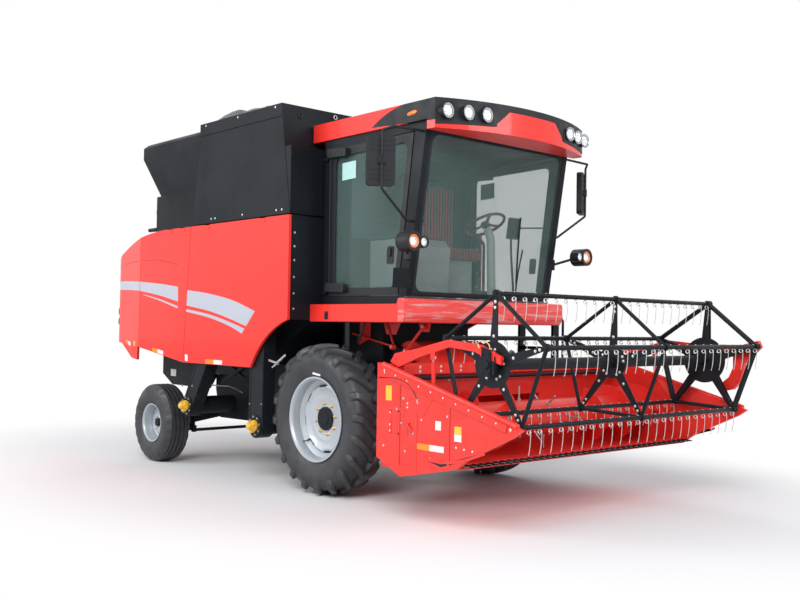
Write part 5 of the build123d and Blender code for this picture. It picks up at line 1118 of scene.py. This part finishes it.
def pad(name, low, high, crown):
    """A stuffed box cushion: a rounded block, remeshed and blown up by cloth pressure; no point
    moves more than crown."""
    low, high = np.asarray(low, float), np.asarray(high, float)
    work = bmesh.new()
    bmesh.ops.create_cube(work, size=1.0)
    bmesh.ops.scale(work, vec=Vector((high - low).tolist()), verts=work.verts)
    bmesh.ops.translate(work, vec=Vector(((high + low) / 2).tolist()), verts=work.verts)
    bmesh.ops.bevel(work, geom=work.edges[:], offset=0.028, segments=4, affect="EDGES", profile=0.5)
    mesh = bpy.data.meshes.new(name)
    work.to_mesh(mesh)
    work.free()
    piece = bpy.data.objects.new(name, mesh)
    scene.collection.objects.link(piece)
    grid = piece.modifiers.new("grid", "REMESH")
    grid.mode = "VOXEL"
    grid.voxel_size = 0.012
    graph = bpy.context.evaluated_depsgraph_get()
    still = bpy.data.meshes.new_from_object(piece.evaluated_get(graph))
    piece.modifiers.clear()
    piece.data = still
    rest = np.array([v.co[:] for v in still.vertices])
    cloth = piece.modifiers.new("stuffing", "CLOTH")
    cloth.settings.use_pressure = True
    cloth.settings.uniform_pressure_force = 4.0
    cloth.settings.effector_weights.gravity = 0.0
    cloth.settings.quality = 5
    for step in range(1, 13):
        scene.frame_set(step)
    graph = bpy.context.evaluated_depsgraph_get()
    swollen = bpy.data.meshes.new_from_object(piece.evaluated_get(graph))
    moved = np.array([v.co[:] for v in swollen.vertices]) - rest
    far = np.linalg.norm(moved, axis=1, keepdims=True)
    moved *= np.minimum(1, crown / np.maximum(far, 1e-9))
    piece.modifiers.clear()
    still.vertices.foreach_set("co", (rest + moved).ravel())
    scene.frame_set(1)
    still.shade_smooth()
    still.materials.clear()
    still.materials.append(SEAT_CLOTH)
    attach(piece, "chassis")
    return piece


low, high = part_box("seat_cushions")
cushion = pad("seat_cushion", (low.x + 0.008, low.y + 0.010, low.z + 0.004),
              (high.x - 0.014, high.y - 0.010, low.z + 0.108), 0.010)
pad("seat_back", (low.x + 0.004, low.y + 0.012, low.z + 0.122),
    (low.x + 0.106, high.y - 0.012, high.z - 0.008), 0.010)
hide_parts("seat_cushions")


# ---- Roof and corner lamps ----
# Work lamps and twin corner lamps: chrome bowls with white lamp domes behind clear domed covers,
# amber rings on the corner lamps, and a black lip under the visor.
LAMP_WHITE = coat("lamp_dome", (0.92, 0.95, 1.0),
                  (0.05, 3.0, 0.0, 1.2, 0.1, 0.2, 150.0, 0.02))
light = LAMP_WHITE.node_tree.nodes["Principled BSDF"].inputs
light["Emission Color"].default_value = (0.86, 0.93, 1.0, 1)
light["Emission Strength"].default_value = 0.55
MARKER_Y = 0.965
bowls, domes, covers, necks = [], [], [], []
lamp_places = []
for s in (-1, 1):
    lamp_places += [(x, s * y, 3.278, 0.062, -0.0142, 0.032)
                    for y, x in ((0.548, 1.432), (0.722, 1.386), (0.900, 1.324))]
    lamp_places += [(1.190, s * 1.130, 2.205, 0.0395, -0.001, 0.021),
                    (1.190, s * 1.022, 2.205, 0.0375, -0.001, 0.023)]
for x, y, z, r, deep, out in lamp_places:
    place = at(x, y, z)
    rim = out - 0.008
    bowls.append(turned([(POLE, -deep), (r * 0.40, -deep + 0.001), (r * 0.80, rim - 0.006), (r, rim),
                         (r, rim - 0.002), (r * 0.82, rim - 0.008), (r * 0.42, -deep - 0.0006),
                         (POLE, -deep - 0.001)], place, 32, way="x", closed=True))
    spots = [(0.0, 0.0)] + [(0.55 * math.cos(a), 0.55 * math.sin(a))
                            for a in np.arange(6) * math.pi / 3]
    for a, b in spots:
        dome = [(POLE, rim - 0.001), (r * 0.16, rim - 0.003), (r * 0.22, rim - 0.007),
                (r * 0.22, rim - 0.010), (POLE, rim - 0.010)]
        domes.append(turned(dome, place + np.array((0, a * r, b * r)), 12, way="x"))
    covers.append(turned([(POLE, out), (r * 0.7, out - 0.002), (r, out - 0.0055), (r, out - 0.0065),
                          (r * 0.7, out - 0.0032), (POLE, out - 0.0012)], place, 32, way="x",
                         closed=True))
    if z > 3:
        necks.append(turned([(0.036, -0.020), (0.0435, -0.020), (0.0435, 0.0145), (0.064, 0.0220),
                             (0.064, 0.0265), (0.0622, 0.0265), (0.0622, 0.0238), (0.036, 0.0138)],
                            place, 32, way="x", closed=True))
put("lamp_necks", necks, PLASTIC, smooth=40)
put("lamp_bowls", bowls, CHROME, smooth=60)
put("lamp_domes", domes, LAMP_WHITE, smooth=60)
put("lamp_covers", covers, LENS, smooth=60, stands_for=["lamp_lenses"])
softened("lamp_housings", 0.005, "chassis")
ambers = []
for s in (-1, 1):
    ambers.append(turned([(0.0405, 0.0005), (0.0595, 0.0005), (0.0595, 0.016), (0.054, 0.0215),
                          (0.046, 0.0215), (0.0405, 0.018)], at(1.190, s * 1.130, 2.205), 40, way="x",
                         closed=True))
    points, cells = turned([(POLE, -0.010), (0.024, -0.010), (0.024, 0.006), (0.014, 0.013),
                            (POLE, 0.015)], (0.0, 0.0, 0.0), 28)
    points = points * np.array((2.5, s, 0.80))
    points[:, 2] += 0.10 * points[:, 0]
    ambers.append((points + at(0.985, s * MARKER_Y, 3.300), cells))
put("amber_lamps", ambers, AMBER, smooth=50, stands_for=["marker_lamps"])
ROOF_R, ROOF_MID_X = 2.092, -0.592
for side, s in SIDES:
    y = np.linspace(0.452, 0.966, 24)
    angle = np.arcsin(y / ROOF_R)
    rows = []
    for proud, z in ((0.0006, 3.172), (0.0046, 3.172), (0.0046, 3.262), (0.0006, 3.262)):
        rows.append(np.stack([ROOF_MID_X + (ROOF_R + proud) * np.cos(angle) + AXLE_X,
                              s * (ROOF_R + proud) * np.sin(angle),
                              0 * y + z + 0.020 * (0.966 - y) / 0.5], axis=-1))
    put("visor_lip_" + side, [sheet_of(np.stack(rows, axis=1), around=True, caps=True)], PLASTIC,
        bevel=0.0012)

# ---- Mirrors ----
# Plastic mirror heads on bent tube arms, with ribs and a clamp on the back of each head.
softened("mirror_frames", 0.006, "chassis")
for side, s in SIDES:
    turn = math.radians(28 * s)
    ahead = np.array((math.cos(turn), math.sin(turn), 0))
    across = np.array((-math.sin(turn), math.cos(turn), 0))
    head = at(1.000, s * 1.318, 0)
    ribs = []
    for z in (2.70, 2.74, 2.78, 2.94, 2.98, 3.02):
        ribs.append(bar_between(head + ahead * 0.0185 - across * 0.092 + np.array((0, 0, z)),
                                head + ahead * 0.0185 + across * 0.092 + np.array((0, 0, z)), 0.010,
                                0.006))
    put("mirror_ribs_" + side, ribs, PLASTIC, bevel=0.0015)
    clamp, heights = at(1.030, s * 1.332, 0), (2.842, 2.878)
    rings = [turned([(0.0112, -0.016), (0.017, -0.016), (0.017, 0.016), (0.0112, 0.016)],
                    clamp + np.array((0, 0, z)), 20, way="z", closed=True) for z in heights]
    put("mirror_clamps_" + side,
        rings + bolt_heads([clamp + np.array((0, s * 0.017, z)) for z in heights], (0, s, 0), 0.005,
                           0.006), BLACK)

# ---- Side panel hinge covers ----
# Small folded red plates riveted over the hinge gaps along the panels' top edges.
for side, s in SIDES:
    for name, places in (("front", (-0.70, -1.70)), ("rear", (-2.20, -2.46))):
        plates = [slab(x - 0.094, 2.470, x + 0.004, 2.5135, s * 1.2803, s * 1.2830) for x in places]
        rivets = [at(x + dx, s * 1.283, 2.478) for x in places for dx in (-0.080, -0.010)]
        put("hinge_plates_%s_%s" % (name, side), plates + bolt_heads(rivets, (0, s, 0), 0.0035, 0.002),
            RED, "%s_side_panel_%s" % (name, side), bevel=0.0008)

# ---- Deck ledge ----
# The red ledge still wears its clear transport film: a slack see-through skin with pale folds.
def clinging_film():
    """Clear film: nearly invisible, with long pale folds where it lifts off the paint."""
    material, grow = new_material("clear_film")
    stretch = grow("Mapping",
                   {"Vector": grow("TexCoord").outputs["Object"], "Scale": (1.0, 1.1, 12.0),
                    "Rotation": (0.35, 0.25, 0.0)})
    folds = grow("TexNoise", {"Vector": stretch, "Scale": 2.4, "Detail": 4.0, "Distortion": 0.6})
    veil = grow("MapRange",
                {"Value": folds, "From Min": 0.52, "From Max": 0.74, "To Min": 0.03, "To Max": 0.30})
    return painted(material, grow,
                   {"Base Color": (0.85, 0.80, 0.80, 1), "Roughness": 0.22, "Alpha": veil})


FILM = clinging_film()
edge = [(1.0055, 1.556), (1.0058, 1.600), (1.0060, 1.660), (1.0060, 1.735), (0.990, 1.7705)]
line = smooth_path(np.array([(x, 0, z) for x, z in edge]), 14)
y = np.linspace(-1.035, 1.030, 90)
wave = 0.0022 + 0.0018 * np.sin(y * 23)[:, None] * np.sin(line[None, :, 2] * 31 + y[:, None] * 9)
outer = np.stack([line[None, :, 0] + wave + AXLE_X, y[:, None] + 0 * wave,
                  line[None, :, 2] + 0 * wave], axis=-1)
inner = outer[:, ::-1] - np.array((0.0006, 0, 0))
put("ledge_film", [sheet_of(np.concatenate([outer, inner], axis=1), around=True, caps=True)], FILM,
    smooth=70)
x = np.linspace(0.92, 1.000, 14)
z = np.linspace(1.556, 1.755, 14)
wave = 0.0022 + 0.0016 * np.sin(x * 60)[:, None] * np.sin(z[None, :] * 40 + 20 * x[:, None])
outer = np.stack([x[:, None] + AXLE_X + 0 * wave, -1.0345 - wave, z[None, :] + 0 * wave], axis=-1)
inner = outer[:, ::-1] + np.array((0, 0.0006, 0))
put("ledge_film_side", [sheet_of(np.concatenate([outer, inner], axis=1), around=True, caps=True)],
    FILM, smooth=70)
latch = [prism(rounded([(-0.075, 1.568), (-0.025, 1.568), (-0.025, 1.640), (-0.075, 1.640)], 0.010, 4),
               -1.0345, -1.040), turned([(POLE, -0.008), (0.015, -0.008), (0.017, 0.0), (POLE, 0.0)],
                                        at(-0.05, -1.040, 1.620), 18),
         turned([(POLE, -0.008), (0.013, -0.008), (0.015, 0.0), (POLE, 0.0)], at(-0.05, -1.040, 1.588),
                18)]
put("sill_latch", latch, PLASTIC, bevel=0.0015)
strap = [bar_between(at(0.250, -1.028, 1.545), at(0.252, -1.028, 1.300), 0.060, 0.006, up=(1, 0, 0)),
         bar_between(at(0.395, -0.95, 1.545), at(0.300, -0.95, 1.36), 0.030, 0.008, up=(1, 0, 0))]
put("deck_straps", strap + bolt_heads([at(0.235, -1.031, 1.33), at(0.268, -1.031, 1.33)], (0, -1, 0),
                                      0.006, 0.006), BLACK, bevel=0.001)

# ---- Elevator legs ----
# Folded edges and bolted foot rings on the elevator legs, lobed yellow bearing caps, a crossed
# brace and bent crank rods between them, a steel fork where the panel stay is hooked, and blank
# plates on the tyre and the chassis rail.
LEG_FOLD_Y, LEG_FEET = -1.2415, ((-0.850, 0.550), (-2.135, 0.650))
ribs = []
for x in (-0.952, -0.748):
    ribs.append(bar_between(at(x, LEG_FOLD_Y, 0.62), at(x, LEG_FOLD_Y, 1.165), 0.022, 0.004,
                            up=(1, 0, 0)))
for dx in (-0.092, 0.092):
    ribs.append(bar_between(at(-2.135 + dx + 0.036, LEG_FOLD_Y, 0.71),
                            at(-2.135 + dx + 0.282, LEG_FOLD_Y, 1.12), 0.022, 0.004, up=(1, 0, 0)))
bolts = []
for x, z in LEG_FEET:
    ribs.append(turned([(0.070, -1.2525), (0.100, -1.2525), (0.102, -1.2402), (0.068, -1.2402)],
                       at(x, 0, z), 40, closed=True))
    bolts += [at(x + 0.085 * math.cos(a), -1.2525,
                 z + 0.085 * math.sin(a)) for a in np.arange(8) * math.pi / 4 + 0.2]
    bolts += [at(x - 0.10, -1.2403, z + 0.20), at(x + 0.10, -1.2403, z + 0.21)]
put("leg_folds", ribs, BLACK, bevel=0.0012)
put("leg_bolts", bolt_heads(bolts, (0, -1, 0), 0.0075, 0.008), STEEL)
lobes = []
for x, z in LEG_FEET:
    lobes.append(turned([(POLE, -1.338), (0.020, -1.336), (0.031, -1.326), (0.036, -1.306),
                         (0.040, -1.284), (0.054, -1.274), (0.056, -1.252), (0.048, -1.2403),
                         (POLE, -1.2403)], at(x, 0, z), 40))
    for a in (0.5, 2.6, 4.7):
        lobes.append(turned([(POLE, -1.300), (0.017, -1.298), (0.020, -1.288), (0.022, -1.262),
                             (POLE, -1.262)], at(x + 0.045 * math.cos(a), 0, z + 0.045 * math.sin(a)),
                            20))
put("bearing_caps", lobes, YELLOW, smooth=50, stands_for=["elevator_caps"])
brace = [bar_between(at(-2.17, -0.80, 1.120), at(-1.625, -0.80, 0.879), 0.030, 0.005),
         bar_between(at(-1.634, -0.806, 1.112), at(-2.17, -0.806, 0.880), 0.030, 0.005)]
put("brace", brace, BLACK, bevel=0.001)
crank = [pipe(bent([(-2.413, -0.86, 0.738), (-2.365, -0.86, 0.832), (-2.10, -0.86, 0.845),
                    (-1.911, -0.86, 0.849)], 16), 0.007, 8),
         pipe(bent([(-1.911, -0.86, 0.849), (-1.80, -0.86, 0.83), (-1.67, -0.86, 0.798)], 12), 0.007,
              8)]
put("crank_rods", crank, STEEL, smooth=60)
fork = [bar_between(at(-0.687, -1.215, 1.178), at(-0.523, -1.215, 1.149), 0.020, 0.006),
        bar_between(at(-0.560, -1.222, 1.150), at(-0.406, -1.222, 1.235), 0.020, 0.006),
        bar_between(at(-0.640, -1.208, 1.110), at(-0.470, -1.208, 1.196), 0.016, 0.005)]
put("fork", fork + bolt_heads([at(-0.523, -1.226, 1.160)], (0, -1, 0), 0.010, 0.010), STEEL,
    bevel=0.0015)
put("tyre_mark", [prism([(0.193, 1.090), (0.298, 1.078), (0.300, 1.094), (0.196, 1.108)], -1.3560,
                        -1.3600)], WHITE_FILM, "front_wheel_right")
put("chassis_plate", [prism([(-3.322, 0.893), (-3.201, 0.891), (-3.201, 0.971), (-3.322, 0.973)],
                            -0.7805, -0.7850)], WHITE_FILM)

# ---- Linkage under the cab ----
# Red control rods and bracket plates between the deck and the threshing housing.
rods = [pipe([at(0.801, -0.62, 1.520), at(0.575, -0.62, 1.300)], 0.013, 12),
        pipe([at(0.300, -0.60, 1.535), at(0.395, -0.60, 1.330)], 0.011, 12),
        pipe([at(-0.20, -0.60, 1.440), at(0.395, -0.60, 1.330)], 0.010, 12)]
put("deck_links", rods, RED, smooth=60)
brackets = [prism([(-0.128, 1.330), (0.030, 1.400), (0.030, 1.545), (-0.128, 1.545)], -0.568, -0.574),
            prism([(0.280, 1.440), (0.410, 1.440), (0.470, 1.545), (0.240, 1.545)], -0.590, -0.596),
            prism([(0.740, 1.470), (0.850, 1.470), (0.870, 1.545), (0.720, 1.545)], -0.600, -0.606)]
LINK_EYES = ((0.575, 1.300), (0.801, 1.515), (0.395, 1.330))
eyes = [turned([(POLE, -0.640), (0.024, -0.640), (0.026, -0.600), (POLE, -0.600)], at(x, 0, z),
               20) for x, z in LINK_EYES]
put("deck_brackets", brackets + eyes, RED, bevel=0.0015)
put("link_bolts", bolt_heads([at(x, -0.641, z) for x, z in LINK_EYES], (0, -1, 0), 0.008, 0.007), ZINC)

# ---- Reel ends and auger fingers ----
# A black clamp over each arm's shaft bearing with a small brass grease pipe, bolted hub plates,
# and steel sleeves on the retracting fingers.
for side, s in SIDES:
    y0, y1 = s * 1.4573, s * 1.4640
    plates = [prism([(2.258, 1.190), (2.402, 1.190), (2.402, 1.282), (2.258, 1.318)], y0, y1),
              prism([(2.283, 1.176), (2.372, 1.176), (2.372, 1.362), (2.283, 1.384)], s * 1.4635,
                    s * 1.4720), prism([(2.3984, 1.190), (2.4040, 1.190), (2.4040, 1.300),
                                        (2.3984, 1.322)], s * 1.4235, s * 1.4640),
              turned([(POLE, s * 1.484), (0.030, s * 1.484), (0.034, s * 1.470), (POLE, s * 1.470)],
                     at(REEL_X, 0, REEL_Z), 28)]
    bolts = [at(x, s * 1.472, z) for x in (2.300, 2.356) for z in (1.196, 1.332)]
    put("shaft_clamp_" + side, plates + bolt_heads(bolts, (0, s, 0), 0.007, 0.007), BLACK,
        "reel_carrier", bevel=0.0015)
    loop = bent([(2.262, s * 1.468, 1.372), (2.250, s * 1.470, 1.410), (2.300, s * 1.470, 1.424),
                 (2.352, s * 1.470, 1.404), (2.362, s * 1.468, 1.368)], 20)
    put("grease_pipe_" + side, [pipe(loop, 0.004, 8)], GOLD, "reel_carrier",
        smooth=60)
low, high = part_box("header_auger")
mid_x, mid_z = (low.x + high.x) / 2, (low.z + high.z) / 2
fingers = []
for n in range(8):
    a = math.radians(n * 135)
    foot = np.array((mid_x + 0.148 * math.sin(a), -0.280 + 0.080 * n, mid_z + 0.148 * math.cos(a)))
    tip = np.array((mid_x + 0.2655 * math.sin(a), -0.280 + 0.080 * n, mid_z + 0.2655 * math.cos(a)))
    fingers += [pipe([foot, tip], 0.0082, 10), pipe([foot, foot + (tip - foot) * 0.14], 0.016, 12)]
put("finger_sleeves", fingers, STEEL, "auger", smooth=50)

# ---- Running gear and cylinders ----
# Castings and tubes of the steering and lifting gear with rounded edges.
for node, width, body in (
    ("knuckle_right", 0.004, "knuckle_body_right"), ("knuckle_left", 0.004, "knuckle_body_left"),
    ("tie_rod", 0.002, "tie_rod_body"), ("lift_barrels", 0.003, "header_cylinder_barrels"),
    ("reel_barrels", 0.002, "reel_cylinder_barrels"), ("rear_hood", 0.003, "chassis"),
):
    softened(node, width, body)

# ---- Rear lamps ----
# Blank round lamps on the hood's rounded rear corners: amber over red, each on a black base.
RED_LENS = coat("red_lens", (0.55, 0.012, 0.010),
                (0.1, 3.0, 0.03, 1.2, 0.12, 0.2, 150.0, 0.05), clear=0.5)
CORNER_X, CORNER_Y, CORNER_R = -3.744, 0.794, 0.400
for side, s in SIDES:
    out = np.array((-math.sqrt(0.5), s * math.sqrt(0.5), 0.0))
    across = np.array((out[1], -out[0], 0.0))
    spot = at(CORNER_X, s * CORNER_Y, 0) + out * (CORNER_R - 0.004)
    base = [spot + np.array((0, 0, z)) for z in (1.520, 1.640)]
    for name, foot, paint in (("stop", base[0], RED_LENS), ("turn", base[1], AMBER)):
        for part, profile, look in (("seat",
                                     [(POLE, 0.000), (0.052, 0.000), (0.052, 0.016), (POLE, 0.016)],
                                     PLASTIC), ("lens",
                                                [(POLE, 0.015), (0.046, 0.015), (0.044, 0.024),
                                                 (0.030, 0.030), (POLE, 0.032)], paint)):
            points, cells = turned(profile, (0.0, 0.0, 0.0), 30, way="x")
            rise = points[:, 2:] * np.array((0, 0, 1))
            points = foot + points[:, :1] * out + points[:, 1:2] * across + rise
            put("rear_%s_%s_%s" % (name, part, side), [(points, cells)], look, smooth=50)

# ---- Engine hood air intake ----
# Slatted screen of black sheet in the opening at the back of the hood, where it flares out.
SCREEN_LOW, SCREEN_HIGH = np.array((-3.283, 2.9705)), np.array((-3.3535, 3.139))
screen = [prism([SCREEN_LOW + (0.010, 0.002), SCREEN_HIGH + (0.010, 0.0), SCREEN_HIGH + (0.016, 0.0),
                 SCREEN_LOW + (0.016, 0.002)], -0.9495, 0.9495)]
for y in np.linspace(-0.93, 0.93, 25):
    screen.append(prism([SCREEN_LOW + (-0.002, 0.0), SCREEN_HIGH + (-0.002, 0.0),
                         SCREEN_HIGH + (0.012, 0.0), SCREEN_LOW + (0.012, 0.0)], y - 0.009, y + 0.009))
for part in (0.30, 0.62):
    low = SCREEN_LOW + (SCREEN_HIGH - SCREEN_LOW) * part
    screen.append(prism([low + (-0.0035, 0.0), low + (-0.0085, 0.012), low + (0.008, 0.012),
                         low + (0.012, 0.0)], -0.9490, 0.9490))
screen.append(slab(-3.3790, 2.9703, -3.2700, 2.9745, -0.9790, 0.9790))
put("intake_screen", screen, BLACK, bevel=0.001)

# ---- Header flange and latch handle ----
# Folded flange under the end sheet's sloping rail, a flat red latch handle with spring bolts, and
# thin dark red strips of painted shadow along the ribs, the frame posts, the flange and the handle.
slope = np.array((2.640 - 1.268, 0.857 - 1.222))
slope /= np.linalg.norm(slope)
fall = np.array((slope[1], -slope[0]))
for side, s in SIDES:
    start, end = np.array((1.300, 1.196)), np.array((2.560, 0.861))
    flange = [prism([start, end, end + fall * 0.052, start + fall * 0.070], s * 1.5003, s * 1.5032)]
    handle = [prism([(1.496, 0.806), (1.514, 0.822), (1.618, 0.752), (1.606, 0.730)], s * 1.5002,
                    s * 1.5026), prism([(1.462, 0.885), (1.578, 0.894), (1.578, 0.906),
                                        (1.462, 0.897)], s * 1.5002, s * 1.5031),
              prism([(1.512, 0.815), (1.524, 0.812), (1.524, 0.960), (1.512, 0.960)], s * 1.5002,
                    s * 1.5022)]
    # Thin dark red strips of painted shadow along both sides of the upright ribs, beside the latch
    # frame's posts, under the flange and under the latch handle.
    lines = [slab(x, z0, x + 0.005, z1, s * 1.5001, s * 1.5010)
             for x, z0, z1 in ((1.4560, 0.47, 1.135), (1.4835, 0.47, 1.135), (1.9885, 0.52, 1.01),
                               (2.0155, 0.52, 1.01), (1.370, 0.70, 0.880), (1.6500, 0.450, 0.868))]
    lines.append(prism([start + fall * 0.070, end + fall * 0.052, end + fall * 0.057,
                        start + fall * 0.075], s * 1.5001, s * 1.5012))
    lines.append(prism([(1.490, 0.800), (1.600, 0.724), (1.618, 0.720), (1.622, 0.726),
                        (1.500, 0.812)], s * 1.5001, s * 1.5012))
    put("sheet_seams_" + side, lines, CREASE, "header")
    put("sheet_flange_" + side, flange, RED, "header", bevel=0.001)
    put("latch_handle_" + side, handle, RED, "header", bevel=0.001)
    coils = [turned([(POLE, s * 1.4995), (0.011, s * 1.4995), (0.009, s * 1.5036), (POLE, s * 1.5036)],
                    at(x, 0, z), 14) for x, z in ((1.500, 0.790), (1.630, 0.720), (1.518, 0.975),
            (1.448, 0.890))]
    put("latch_pins_" + side, coils, STEEL, "header", smooth=50)
